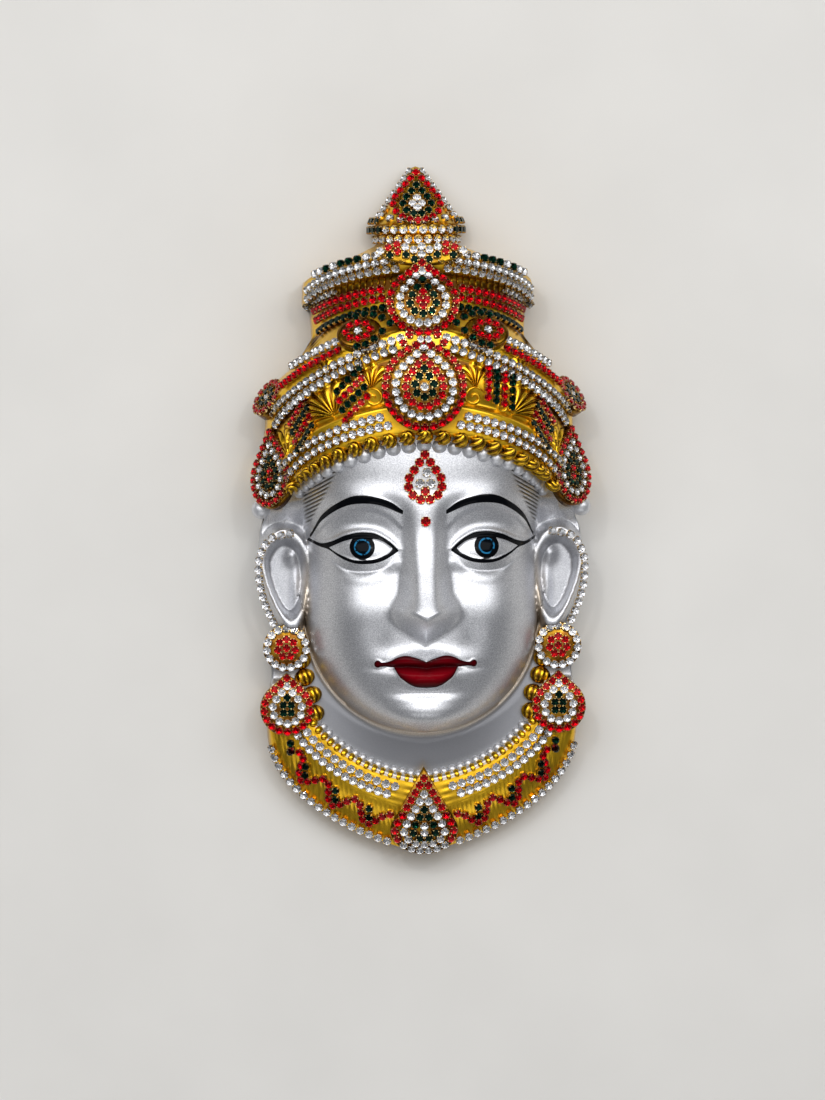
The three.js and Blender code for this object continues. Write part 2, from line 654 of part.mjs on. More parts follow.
const RUN_STEP = 5;

// Clusters laid on the front in pairs: place, half width, half height, how far the point is, rise
const cluster = (x, y, halfWidth, halfHeight, point, rise, shares = [1]) => (
  { x, y, halfWidth, halfHeight, form: point > 1 ? teardrop(point) : round, rise, shares });
const CLUSTERS = {
  lotus_stones: cluster(21.4, 60.2, 8.6, 4.4, 1, 2),
  side_rosette: cluster(49.6, 39.4, 5.3, 5.3, 1, 2.2),
  side_teardrop: cluster(50.6, 10.6, 8, 10, 1.6, 2.4, [0.5, 1]),
};
const CLUSTER_LIFT = 1.2;
const ROOF_FLOWER = cluster(0, 86, 4.6, 3, 1, 1.8);
const BINDI = cluster(0.6, 8.6, 6, 6.6, 1.6, 1.6);
const FOREHEAD_STONE = cluster(0.2, -4.1, 1.8, 1.8, 1, 1);

// Patches of slanted stone rows beside the lower medallion; the left inner one leans far over
const patch = (x, y, lean, halfWidth, halfHeight) => ({ x, y, lean, halfWidth, halfHeight });
const STRIPES = {
  stripe_stones_inner: (m) => (m < 0 ? patch(-24.5, 37.4, 0.9, 6, 5) : patch(24.5, 37.4, -0.06, 6.2, 6.2)),
  stripe_stones_outer: (m) => patch(m * 40.4, 29.4, m * -0.35, 4.4, 6.4),
};

const STRIPE_LIFT = 0.9;

const EAR_ROUTE = [[42.5, -7.8], [50, -9], [53, -15], [53, -22], [51.4, -29], [48.6, -34.6]];
const EAR_STEPS = 7;

// The necklace's zigzag: from where to where, its corners, its swing and the band it runs in
const ZIGZAG = { from: 11.5, to: 45, corners: 11, swing: 2.2, aboveEdge: 4.4, belowInner: 8.4 };

// The finial's stones: rings by radius, y and half the angle they span, and the jewel on its cone
const FINIAL_RINGS = {
  finial_rim_chain: { radius: FINIAL.rimRadius, y: 93.1, spread: 1.5, steps: 10 },
  finial_neck_chain: { radius: FINIAL.neckRadius + 1.5, y: 90, spread: 1.2, steps: 8 },
};
const RING_SECTION = [[0.3, -1.3], [0.3, 1.3], [1.9, 0.9], [1.9, -0.9]];
const CONE_JEWEL = { y: 101.7, point: 1.8, halfWidth: 7.6, halfHeight: 5.3, rise: 1.4, clear: 0.9 };
const CONE_SLOPE = 0.733;

const mask = new THREE.Group();
const CLEAR_OF_BODY = 1.004;
const clearance = body.scale([CLEAR_OF_BODY, CLEAR_OF_BODY, CLEAR_OF_BODY]).add(body);

function addMesh(name, shape, finish) {
  const { vertProperties, triVerts } = shape.getMesh();
  const geometry = new THREE.BufferGeometry();
  geometry.setAttribute("position", new THREE.BufferAttribute(vertProperties, 3));
  geometry.setIndex(new THREE.BufferAttribute(triVerts, 1));
  geometry.computeVertexNormals();
  const mesh = new THREE.Mesh(geometry, new THREE.MeshStandardMaterial(FINISH[finish]));
  mesh.name = name;
  mask.add(mesh);
}

/** Adds a strip or a plate, cut back where it would touch the casting. */
function addStones(name, shape, finish) {
  let free = shape;
  if (shape.intersect(body).volume() > 1e-4) {
    free = shape.subtract(clearance);
    free = free.decompose().reduce((a, b) => (a.volume() > b.volume() ? a : b));
  }
  addMesh(name, free, finish);
}

/** Adds a piece on the left (-x) and its counterpart on the right. */
function addPair(name, build, finish) {
  addStones(`${name}_left`, build(-1), finish);
  addStones(`${name}_right`, build(1), finish);
}

function runStrip(r, m) {
  const steps = Math.ceil((r.to - r.from) / RUN_STEP);
  return strip(onArc(r.line, r.away, m * r.from, m * r.to, steps), r.width);
}

/** A cluster's plate, laid on the front at its place, mirrored for the left side. */
function laid(c, m, lift, sides) {
  return plate(c.form, c.halfWidth, c.halfHeight, draped(m * c.x, c.y), flat(lift),
    domed(c.rise, 0.3), sides, c.shares);
}

/** A patch of stone rows: a square outline whose corners slide sideways by its lean. */
function stripes(p) {
  const place = draped(p.x, p.y);
  const square = (angle) => 1 / Math.max(Math.abs(Math.cos(angle)), Math.abs(Math.sin(angle)));
  return plate(square, p.halfWidth, p.halfHeight, (s, t, h) => place(s + p.lean * t, t, h),
    flat(STRIPE_LIFT), flat(STRIPE_LIFT + STONE_HEIGHT), 8);
}

/** A point over the finial's cone: round its axis by an arc length, along its slope. */
function onCone(s, t, h) {
  const y = CONE_JEWEL.y + t;
  const radius = FINIAL.rimRadius - (y - FINIAL.rimTop) * CONE_SLOPE + CONE_JEWEL.clear + h;
  const turn = s / (radius + 2);
  return [radius * Math.sin(turn), y, FINIAL.axisHeight + radius * Math.cos(turn)];
}

/** A ring strip part of the way round the finial, standing out from its axis. */
function finialRing(ring) {
  const points = [];
  for (let i = 0; i <= ring.steps; i++) {
    const turn = mix(-ring.spread, ring.spread, i / ring.steps);
    for (const [out, up] of RING_SECTION) {
      const radius = ring.radius + out;
      points.push([radius * Math.sin(turn), ring.y + up, FINIAL.axisHeight + radius * Math.cos(turn)]);
    }
  }
  return solid(points, tubeFaces(ring.steps));
}

/** The red zigzag that swings about the middle of the necklace's lower band. */
function zigzag(m) {
  return strip(Array.from({ length: ZIGZAG.corners }, (_, i) => {
    const x = m * mix(ZIGZAG.from, ZIGZAG.to, i / (ZIGZAG.corners - 1));
    const low = arcY(ARCS.necklaceEdge, x) + ZIGZAG.aboveEdge;
    const high = arcY(ARCS.necklaceInner, x) - ZIGZAG.belowInner;
    return [x, mix(low, high, 0.5) + ZIGZAG.swing * Math.cos(Math.PI * i)];
  }));
}

addMesh("mask_body", body, "silver");
for (const [name, r] of Object.entries(RUNS)) addPair(name, (m) => runStrip(r, m), r.finish);
for (const [name, c] of Object.entries(CLUSTERS)) {
  addPair(name, (m) => laid(c, m, CLUSTER_LIFT, 12), "red");
}
for (const [name, at] of Object.entries(STRIPES)) addPair(name, (m) => stripes(at(m)), "red");
for (const [name, ring] of Object.entries(FINIAL_RINGS)) addStones(name, finialRing(ring), "clear");

const jewel = plate(teardrop(CONE_JEWEL.point), CONE_JEWEL.halfWidth, CONE_JEWEL.halfHeight, onCone,
  flat(GAP), domed(GAP + CONE_JEWEL.rise, 0.4), 14);
addStones("finial_jewel", jewel, "red");
addStones("roof_flower", laid(ROOF_FLOWER, 1, GAP, 10), "clear");
addStones("upper_teardrop_stones", padStones(PADS.upperDrop), "red");
addStones("lower_medallion_stones", padStones(PADS.lowerDrop), "red");
addStones("bindi_stones", laid(BINDI, 1, GAP, 12), "red");
addStones("forehead_stone", laid(FOREHEAD_STONE, 1, GAP, 8), "red");

const earRoute = (m) => EAR_ROUTE.map(([x, y]) => [m * x, y]);
addPair("ear_chain", (m) => strip(through(earRoute(m), EAR_STEPS)), "clear");
addPair("ear_stud_stones", (m) => padStones(PADS.stud(m)), "clear");
addPair("ear_drop_stones", (m) => padStones(PADS.earDrop(m)), "red");
addPair("zigzag_chain", zigzag, "red");
addStones("pendant_stones", padStones(PADS.pendant), "clear");

export default mask;
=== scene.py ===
"""Looks of a goddess's face mask: a silver face, a tall gold crown and a necklace, set with stones.

The casting's front is a height over the back plane, worked out from arcs across the mask. Shapes
are worked out in millimetres, with +X across, +Y towards the crown's tip and +Z out of the face,
and are put into the meshes in metres.
"""
import math
from collections import namedtuple
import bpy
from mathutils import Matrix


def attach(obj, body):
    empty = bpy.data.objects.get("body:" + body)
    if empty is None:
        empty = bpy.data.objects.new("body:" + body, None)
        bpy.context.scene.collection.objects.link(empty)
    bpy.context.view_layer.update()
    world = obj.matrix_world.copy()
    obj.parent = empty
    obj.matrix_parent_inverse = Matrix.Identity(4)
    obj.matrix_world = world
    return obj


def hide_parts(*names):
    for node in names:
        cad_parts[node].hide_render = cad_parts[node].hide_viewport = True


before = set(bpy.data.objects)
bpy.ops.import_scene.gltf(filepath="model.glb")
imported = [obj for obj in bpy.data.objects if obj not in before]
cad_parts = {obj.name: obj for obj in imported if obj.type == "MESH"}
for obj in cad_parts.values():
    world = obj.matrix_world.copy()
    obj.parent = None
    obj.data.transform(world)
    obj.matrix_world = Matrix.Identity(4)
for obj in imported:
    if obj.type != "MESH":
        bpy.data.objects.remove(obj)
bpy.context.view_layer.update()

from types import SimpleNamespace as Sizes

import bpy
import numpy as np
from mathutils import Vector

MM = 0.001

# Overall size, in millimetres
TOP = 114.3
WALL = 4
RIM_WIDTH = 5
LEAST_EDGE = 8
SIDES = {-1: "left", 1: "right"}


def arc(side, middle, reach, roundness=0.9):
    """A curve across the mask: y at the sides, y in the middle, half width and how round it is."""
    return np.array([side, middle, reach, roundness], float)


def shifted(line, dy):
    """The same curve further up."""
    return line + np.array([dy, dy, 0, 0])


NECKLACE_EDGE = arc(-75, -TOP, 51.2, 0.72)
NECKLACE_INNER = arc(-57.4, -89.8, 40.4, 0.86)
JAW = arc(-36, -74.2, 38.5, 1)
MOUTH = arc(-30, -53, 40)
EYES = arc(-14, -12, 45)
BROWS = arc(-3, 6, 45)
CROWN_EDGE = arc(1, 24.3, 46)
BROW_BAND_TOP = arc(10.5, 35, 49)
ARCH_FOOT = arc(22.4, 53.2, 50.5, 0.62)
ARCH_TOP = arc(31, 61, 51, 0.62)
DRUM_FOOT = arc(56.4, 68.2, 35.1)
DRUM_TOP = arc(66.6, 77.6, 36.8)
RIM_TOP = arc(74, 84.4, 38.5)
NECK = arc(88.6, 88.9, 12.6)

# Half width of the casting's outline at a height on its sides
OUTLINE = [
    (-75, 51.2), (-66, 51.6), (-54, 49.6), (-45, 50.4), (-38, 48.2), (-29, 51.6), (-16, 54),
    (-6, 53), (-2, 51.2), (4, 54), (12, 53.6), (28, 50.8), (37, 50.3), (43.4, 46.8), (48, 41.2),
    (55, 35.6), (58, 35.1), (66.8, 35.9), (67.8, 38.3), (74, 38), (79.6, 30), (83.4, 22.7),
    (86.7, 15), (88.6, 12.6),
]
# The crown's tiers from the brow up: line, shift, height in the middle, half width of the section
# and how far the stretch below it bulges
TIERS = [
    (CROWN_EDGE, 0, 50, 55, 0), (CROWN_EDGE, 1.5, 52, 56, 0.3), (BROW_BAND_TOP, 0, 52, 55.5, 0),
    (BROW_BAND_TOP, 1.5, 49.5, 54, 0), (ARCH_FOOT, 0, 49.5, 53, 0.8), (ARCH_FOOT, 1.2, 52, 54, 0),
    (ARCH_TOP, 0, 51, 53.5, 0), (ARCH_TOP, 2, 47.5, 50, 0), (DRUM_FOOT, 0, 40, 36.6, 0),
    (DRUM_TOP, 0, 40, 37.4, 0), (DRUM_TOP, 1.2, 43.5, 40, 0), (RIM_TOP, 0, 43.5, 40, 0.6),
    (NECK, 0, 17, 13.4, 0),
]
FACE_LEVELS = [(-74, 33), (-70, 38.5), (-64, 40.5), (-53, 42), (-40, 43), (-25, 43), (-12, 43.5),
               (2, 46), (12, 47), (26, 47)]
FACE_HALF_WIDTHS = [(-34.6, 38.4), (-12, 38), (4, 39.5), (14, 41.5), (30, 44)]
JAW_OVAL = Sizes(top=-34.6, drop=39.6, half=38.4)
NOSE_RIDGE = [(-39, 14.9), (-35, 13.8), (-28, 11), (-18, 7), (-8, 4), (0, 2), (6, 0)]
NOSE_WIDTHS = [(-38, 7.4), (-30, 6.8), (-18, 6.2), (-6, 6), (4, 7.2)]
NOSE_WING = (6, 8.1, -36.4, 3.6, 5)
NOSE_UNDERSIDE = Sizes(foot=-45.6, crest=-35.6, slope=0.5)
# Mounds and hollows of the face, and folds in the ear: rise, place and reach across and up
FACE_MOUNDS = [
    (-4.5, 19, -8, 13, 8.5), (5.4, 20.7, -11.8, 11, 7), (-1.1, 20.7, -20.6, 9, 2),
    (1.5, 21, 4, 15, 4), (3.5, 24.5, -32.6, 14, 11.6), (-0.8, 15.5, -43, 4, 6),
    (3, 0, -50, 12, 3.2), (4.8, 0, -55.6, 9.5, 3.4), (-1.6, 0, -52.3, 15, 1.3),
    (3.7, 0, -67.6, 14, 7.8), (-0.9, 0, -60.7, 10, 1.7),
]
FACE_FOOT = 13
NECK_LEVEL = 12
NECK_SWELL = Sizes(rise=3, width=26, reach=12)
BAND_LEVEL = 15
EDGE_LEVEL = 6
EAR = Sizes(x=45.4, y=-21.5, half_width=8.7, half_height=17.5, upper_height=15, rim=19,
            hollow=10.4, lobe_top=-16, lobe_length=23, lobe_shift=2.2, lobe_taper=3.8)
EAR_FOLDS = [(1.3, 41.9, -26, 1.5, 8), (1.8, 43, -14.8, 2.2, 2.8)]
TEMPLE = Sizes(rise=10.5, foot=-6, crest=4, inner=36, fall=20)
HAIR = Sizes(pitch=1.15, turn=1.08)

# Lines of the face by their distance from its middle: the brow and the edge carved under it, the
# painted line round the eye from outside and from inside, and the fold under the eye
BROW_LINE = [(7.4, -0.9), (11.4, 1.4), (16, 2.9), (19.8, 3.4), (24.9, 2.9), (28.7, 1.2),
             (31.8, -0.9), (34.1, -3.2), (36.8, -8.1)]
BROW_THICKNESS = [(7.4, 0.6), (9, 0.85), (16, 1.05), (22, 1.2), (28, 1), (33, 0.85), (36.8, 0.55)]
ORBIT_EDGE = [(7.6, -5.9), (10.9, -2.8), (16, -0.3), (21, 0.3), (26.2, -0.5), (31.3, -3.4),
              (35.6, -8.2)]
LID_TOP = [(8.7, -13.4), (10.9, -11.2), (13.5, -9.3), (16, -8), (19.8, -7.4), (26.2, -8.4),
           (31, -10.4), (33.8, -10.8), (37.6, -8.9)]
LID_OPEN = [(10.6, -12.8), (13.5, -10.7), (16.5, -9.7), (20.5, -9.2), (26.2, -10.2), (31.3, -12.3)]
LOW_OPEN = [(10.6, -12.8), (11.4, -13.9), (13.5, -15.2), (16, -16.2), (19.8, -16.7), (23.6, -16.5),
            (26.2, -15.5), (28.7, -14.2), (31.3, -12.3)]
LOW_LINER = [(8.7, -13.8), (10.9, -15.3), (13.5, -16.8), (16, -17.6), (19.8, -18), (23.6, -17.6),
             (26.2, -16.6), (28.7, -15.1), (31.8, -12.8), (33.8, -12.1), (37.6, -10)]
LID_FOLD = [(10.1, -16.6), (12.2, -18.6), (16, -20.4), (21.1, -21), (24.9, -20.4), (28.7, -18.4),
            (33, -14)]
IRIS = Sizes(x=20.6, y=-12.3, radius=4.15, ring=2.45, ring_half=0.26, edge=0.06)
LIP_TOP = [(0, -50.5), (3, -49.3), (6.8, -48.4), (9.5, -49), (11.8, -50.1), (14, -50.6),
           (16, -50.3)]
LIP_LINE = [(0, -52.9), (3, -52.3), (7, -52), (11, -52), (14, -51.7), (16, -51.9)]
LIP_BOTTOM = [(0, -59.2), (4, -58.7), (7, -57), (9.3, -54.8), (10.7, -52.1)]
LIP_DOT = (15.9, -51.1, 1.2)
LIP_OVERLAP = 0.25
# Painted areas of the eye: their upper and lower curves, and where they start and end across
EYE_LINE = (LID_TOP, LOW_LINER, 8.7, 37.9)
EYE_OPENING = (LID_OPEN, LOW_OPEN, 10.6, 31.3)


def beside(*parts):
    """Arrays side by side in a new last axis: one row to a point or to a face."""
    return np.stack(parts, -1)


def mix(a, b, t):
    """a at 0, b at 1 and straight between them."""
    return a + (b - a) * t


def step(start, end, value):
    """0 before start and 1 past end, with a smooth cubic rise between them."""
    t = np.clip((value - start) / (end - start), 0, 1)
    return t * t * (3 - 2 * t)


def curve(points, at):
    """Smooth value through (place, value) pairs: cubics sloped by the mean of the chords'."""
    places, values = np.array(points, float).T
    slopes = np.gradient(values, places)
    k = np.clip(np.searchsorted(places, at) - 1, 0, len(places) - 2)
    width = places[k + 1] - places[k]
    rise = values[k + 1] - values[k]
    t = np.clip((at - places[k]) / width, 0, 1)
    start, end = slopes[k] * width - rise, rise - slopes[k + 1] * width
    return values[k] + rise * t + t * (1 - t) * (start * (1 - t) + end * t)


def bell(distance, width):
    """A ridge's height at a distance from its line: 1 on it, fading as a bell curve."""
    return np.exp(-(distance / width) ** 2)


def arc_y(line, x):
    """y of an arc at x: side + (middle - side) times a mix of an ellipse and a straight slope."""
    u = np.minimum(np.abs(x) / line[2], 1)
    rise = line[3] * np.sqrt(1 - u * u) + (1 - line[3]) * (1 - u)
    return line[0] + (line[1] - line[0]) * rise


def crown_height(x, y):
    """Half ellipses whose height and half width change from tier to tier up the crown."""
    levels = np.stack([arc_y(line, x) + shift for line, shift, _, _, _ in TIERS])
    fronts, halves, bulges = np.array([tier[2:] for tier in TIERS], float).T
    k = np.clip((y[None] > levels).sum(0), 1, len(TIERS) - 1)
    low = np.take_along_axis(levels, k[None] - 1, 0)[0]
    high = np.take_along_axis(levels, k[None], 0)[0]
    t = np.clip((y - low) / np.maximum(high - low, 0.01), 0, 1)
    front = mix(fronts[k - 1], fronts[k], t) + bulges[k] * np.sin(np.pi * t)
    half = mix(halves[k - 1], halves[k], t)
    return np.maximum(front * np.sqrt(np.maximum(1 - (x / half) ** 2, 0)), LEAST_EDGE)


def face_half_width(y):
    """The cheeks' half width, closing to the chin as half an ellipse."""
    down = np.clip((JAW_OVAL.top - y) / JAW_OVAL.drop, 0, 1)
    return curve(FACE_HALF_WIDTHS, y) * np.sqrt(1 - down * down)


def nose_height(x, y):
    """A ridge with a flat top and two wings, cut off below along a V."""
    side = np.abs(x)
    ridge = curve(NOSE_RIDGE, y) * np.exp(-(side / curve(NOSE_WIDTHS, y)) ** 3.1)
    cut = NOSE_UNDERSIDE
    return add_mounds(ridge, [NOSE_WING], side, y) * step(cut.foot, cut.crest, y - cut.slope * side)


def add_mounds(total, mounds, side, y):
    """A height with mounds and hollows added, each a bell across times a bell up."""
    for rise, across, up, wide, tall in mounds:
        total = total + rise * bell(side - across, wide) * bell(y - up, tall)
    return total


def ear_radius(x, y):
    """Distance from the ear's middle in its own radii; its lobe is narrower and nearer the face."""
    lobe = np.clip((EAR.lobe_top - y) / EAR.lobe_length, 0, 1)
    middle = EAR.x - EAR.lobe_shift * lobe
    across = (np.abs(x) - middle) / (EAR.half_width - EAR.lobe_taper * lobe)
    tall = np.where(y > EAR.y, EAR.upper_height, EAR.half_height)
    return np.hypot(across, (y - EAR.y) / tall)


def ear_height(x, y):
    """An upright oval whose rim stands over a hollow."""
    r = ear_radius(x, y)
    rim = mix(EAR.hollow, EAR.rim, step(0.56, 0.9, r))
    return mix(rim, NECK_LEVEL, step(1, 1.25, r))


def face_height(x, y):
    """Below the crown: the face's dome over the ears, the neck plate and the necklace's band."""
    half = np.maximum(face_half_width(y), 1e-6)
    across = np.sqrt(np.maximum(1 - (np.abs(x) / half) ** 2.5, 0)) * (half > 0.01)
    dome = FACE_FOOT + (curve(FACE_LEVELS, y) - FACE_FOOT) * across
    features = add_mounds(nose_height(x, y), FACE_MOUNDS, np.abs(x), y)
    face = np.where(across > 0, dome + features * step(0.1, 0.5, across), 0)
    inner, outer = arc_y(NECKLACE_INNER, x), arc_y(NECKLACE_EDGE, x)
    out = np.clip((inner - y) / (inner - outer), 0, 1)
    band = BAND_LEVEL - (BAND_LEVEL - EDGE_LEVEL) * out ** 3
    swell = NECK_SWELL.rise * bell(x, NECK_SWELL.width)
    neck = NECK_LEVEL + swell * np.clip((y - inner) / NECK_SWELL.reach, 0, 1)
    plate = mix(neck, band, step(inner + 1.5, inner, y))
    ear = np.where(y > EAR.y - EAR.half_height, ear_height(x, y), 0)
    inward = np.clip(1 - (np.abs(x) - TEMPLE.inner) / TEMPLE.fall, 0, 1)
    ramp = NECK_LEVEL + TEMPLE.rise * step(TEMPLE.foot, TEMPLE.crest, y) * inward
    ramp = np.where(y > TEMPLE.foot, ramp, 0)
    return np.maximum(np.maximum(face, plate), np.maximum(ear, ramp))


def form(x, y):
    """Height of the casting's front over the back plane, without its fine relief."""
    x, y = np.broadcast_arrays(np.asarray(x, float), np.asarray(y, float))
    return np.where(y > arc_y(CROWN_EDGE, x), crown_height(x, y), face_height(x, y))


def brow_field(side, y):
    """How deep inside the painted brow a point is, in millimetres."""
    across = curve(BROW_THICKNESS, side) - np.abs(y - curve(BROW_LINE, side)) * 0.85
    return np.minimum.reduce([across, side - 7.1, 37.2 - side])


def area_field(side, y, area):
    """How deep inside an area a point is: between its two curves and its two ends."""
    top, bottom, start, end = area
    return np.minimum.reduce([curve(top, side) - y, y - curve(bottom, side), side - start,
                              end - side])


def lip_field(side, y):
    """How deep inside the painted lips a point is, with the small dots at their corners."""
    line = curve(LIP_LINE, side)
    upper = [curve(LIP_TOP, side) - y, y - line + LIP_OVERLAP, 16 - side]
    lower = [line - y + LIP_OVERLAP, y - curve(LIP_BOTTOM, side), 10.9 - side]
    dot = LIP_DOT[2] - np.hypot(side - LIP_DOT[0], y - LIP_DOT[1])
    return np.maximum.reduce([np.minimum.reduce(upper), np.minimum.reduce(lower), dot])


def black_field(side, y):
    """How deep inside the black enamel of brows, eye lines and irises a point is."""
    opening = area_field(side, y, EYE_OPENING)
    line = np.minimum(area_field(side, y, EYE_LINE), -opening)
    iris = IRIS.radius - np.hypot(side - IRIS.x, y - IRIS.y)
    return np.maximum.reduce([line, brow_field(side, y), np.minimum(iris, opening + 0.3)])


def jaw_distance(x, y):
    """Distance outwards from the line where the face's dome meets the plate behind it."""
    half, drop = JAW_OVAL.half, JAW_OVAL.drop
    below = (np.hypot(x / half, (y - JAW_OVAL.top) / drop) - 1) * (half + drop) / 2
    return np.where(y < JAW_OVAL.top, below, np.abs(x) - face_half_width(y))


def gold_field(x, y):
    """How deep inside the gold lacquer a point is: the crown and the necklace's band."""
    return np.maximum(y - arc_y(CROWN_EDGE, x) - 0.3, arc_y(NECKLACE_INNER, x) - 1.4 - y)


def hatching(x, y, pitch, turn):
    """Fine parallel strokes: a sine across a direction turned from +X."""
    along = x * math.cos(turn) + y * math.sin(turn)
    return np.sin(2 * np.pi * along / pitch)


def hair_share(side, y):
    """1 where hair is carved over the temples, inside a slanted line, and 0 outside."""
    return step(34.6, 35.8, side + 0.5 * y) * step(-6, -4, y)


def weave(x, y):
    """Threads that follow the band near its inner edge, and short strands down it further out."""
    from_edge = arc_y(NECKLACE_INNER, x) - y
    threads = np.sin(2 * np.pi * from_edge / 2.3) * (0.65 + 0.35 * np.sin(2 * np.pi * x / 6.1))
    strands = hatching(x, y, 1.5, 0.15) * (0.6 + 0.4 * np.sin(2 * np.pi * from_edge / 5.2))
    return mix(threads, strands, step(8, 13, from_edge))


def fine_relief(x, y):
    """Carving too small for the form: lids, folds, lips, hair strokes, ears and the woven band."""
    side = np.abs(x)
    near_eye = step(6, 10, side) * step(38.5, 34, side)
    lid = y - curve(LID_TOP, side)
    eye = 0.5 * bell(lid - 0.5, 0.6) - 0.2 * bell(lid - 3, 1.6)
    eye = eye - 0.45 * step(-0.1, 0.5, area_field(side, y, EYE_OPENING))
    ledge = y - curve(ORBIT_EDGE, side)
    eye = eye + 1.0 * step(-0.7, 0.5, ledge) * step(7, 0.8, ledge)
    fold = curve(LID_FOLD, side) - y
    eye = eye + 0.55 * step(-0.5, 0.5, fold) * step(5, 0.8, fold) * step(34, 29, side)
    eye = eye + 0.3 * step(-0.3, 0.2, brow_field(side, y))
    lips = 0.7 * step(-0.5, 0.5, lip_field(side, y))
    lips = lips - 1.1 * bell(y - curve(LIP_LINE, side), 0.45) * step(15.5, 12, side)
    lips = lips - 0.5 * bell(x, 1.5) * step(-51, -49, y) * step(-44.5, -46.5, y)
    hair = 0.42 * hatching(side, y, HAIR.pitch, HAIR.turn) * hair_share(side, y)
    r = ear_radius(x, y)
    ear = add_mounds(0, EAR_FOLDS, side, y)
    jaw = 0.45 * bell(jaw_distance(x, y) - 0.7, 0.6) * step(-22, -30, y)
    from_inner = arc_y(NECKLACE_INNER, x) - y
    woven = 0.12 * weave(x, y) * step(2, 3, from_inner)
    below = step(0, -2, y - arc_y(CROWN_EDGE, x))
    face = (eye * near_eye + lips + hair) * below * step(0.3, -1, jaw_distance(x, y))
    return face + (ear * step(0.9, 0.75, r) * step(38, 40, side) + jaw + woven) * below


def on_form(x, y):
    """Points on the casting's front."""
    return beside(x, y, form(x, y))


def front_normal(x, y, reach=2.0):
    """Outward direction of the form at points, over a few millimetres round each."""
    dx = (form(x + reach, y) - form(x - reach, y)) / (2 * reach)
    dy = (form(x, y + reach) - form(x, y - reach)) / (2 * reach)
    return unit(beside(-dx, -dy, np.ones_like(dx)))


def unit(vectors):
    """Vectors divided by their lengths."""
    return vectors / np.maximum(np.linalg.norm(vectors, axis=-1, keepdims=True), 1e-9)


# Meshes: a skin is its points, its faces as arrays of one size each, and a finish for each array

def joined(skins):
    """One skin from several: their points end to end, and their faces counted on."""
    points, faces, finishes, total = [], [], [], 0
    for some_points, some_faces, some_finishes in skins:
        points.append(some_points)
        faces += [f + total for f in some_faces]
        finishes += some_finishes
        total += len(some_points)
    return np.concatenate(points), faces, finishes


def grid_faces(rows, columns, wrap=False):
    """Quads of a grid of points, row by row, closed round its columns if it wraps."""
    k = np.arange(columns if wrap else columns - 1)
    n = (k + 1) % columns
    start = (np.arange(rows - 1) * columns)[:, None]
    above = start + columns
    return beside(start + k, start + n, above + n, above + k).reshape(-1, 4)


def closed_rings(rings, first, last):
    """Closed skin of rings of points joined in order, with one point closing each end."""
    count, sides = rings.shape[:2]
    points = np.concatenate([rings.reshape(-1, 3), np.array([first, last], float)])
    k = np.arange(sides)
    n = (k + 1) % sides
    start, end = np.full(sides, count * sides), np.full(sides, count * sides + 1)
    tail = (count - 1) * sides
    caps = np.concatenate([beside(start, n, k), beside(end, tail + k, tail + n)])
    return points, [grid_faces(count, sides, True), caps], [0, 0]


def round_turns(count):
    """Angles evenly round a circle."""
    return np.linspace(0, 2 * np.pi, count, endpoint=False)


def outward(skin):
    """The same skin with its faces turned round if the volume inside them is negative."""
    points, faces, finishes = skin
    volume = 0
    for f in faces:
        a = points[f[:, 0]]
        for k in range(1, f.shape[1] - 1):
            volume += np.einsum("ij,ij->", a, np.cross(points[f[:, k]], points[f[:, k + 1]]))
    return skin if volume > 0 else (points, [f[:, ::-1] for f in faces], finishes)


def repeated(skin, places, axes, scale=1):
    """Copies of a skin at places, its own x, y and z along each place's three axes."""
    points, faces, finishes = skin
    count = len(places)
    scale = np.broadcast_to(np.asarray(scale, float), (count,))[:, None, None]
    all_points = places[:, None] + np.einsum("pk,mkj->mpj", points, axes) * scale
    offsets = (np.arange(count) * len(points))[:, None, None]
    all_faces = [(f[None] + offsets).reshape(-1, f.shape[1]) for f in faces]
    return all_points.reshape(-1, 3), all_faces, finishes


def add_object(name, data):
    """A new object in the scene that holds some data."""
    made = bpy.data.objects.new(name, data)
    bpy.context.scene.collection.objects.link(made)
    return made


def make_piece(name, skin, materials, nodes=(), smooth=True, fields=None):
    """Puts a skin into a mesh in metres, on the one body, in place of CAD nodes."""
    points, faces, finishes = skin
    mesh = bpy.data.meshes.new(name)
    mesh.from_pydata((points * MM).tolist(), [], [face for f in faces for face in f.tolist()])
    for made in materials:
        mesh.materials.append(made)
    index = np.concatenate([np.broadcast_to(m, len(f)) for f, m in zip(faces, finishes)])
    mesh.polygons.foreach_set("material_index", index.astype(np.int32))
    mesh.polygons.foreach_set("use_smooth", np.full(len(index), smooth))
    for field, values in (fields or {}).items():
        layer = mesh.attributes.new(field, "FLOAT", "POINT")
        layer.data.foreach_set("value", values.astype(np.float32))
    mesh.update()
    piece = add_object(name, mesh)
    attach(piece, "root")
    if nodes:
        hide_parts(*nodes)


# Materials

def srgb(code):
    """Linear colour with full alpha of an sRGB hex value."""
    parts = [int(code[k:k + 2], 16) / 255 for k in (1, 3, 5)]
    return [p / 12.92 if p <= 0.04045 else ((p + 0.055) / 1.055) ** 2.4 for p in parts] + [1]


def add_node(tree, kind, inputs=None, **settings):
    """Adds a node with its settings; each input is a value, a socket, or a node to link."""
    node = tree.nodes.new("ShaderNode" + kind)
    for key, value in settings.items():
        setattr(node, key, value)
    for key, value in (inputs or {}).items():
        if isinstance(value, bpy.types.Node):
            value = value.outputs[0]
        if isinstance(value, bpy.types.NodeSocket):
            tree.links.new(value, node.inputs[key])
        else:
            node.inputs[key].default_value = value
    return node


def new_tree(name):
    """A material, and its tree of nodes, still empty."""
    made = bpy.data.materials.new(name)
    made.use_nodes = True
    made.node_tree.nodes.clear()
    return made, made.node_tree


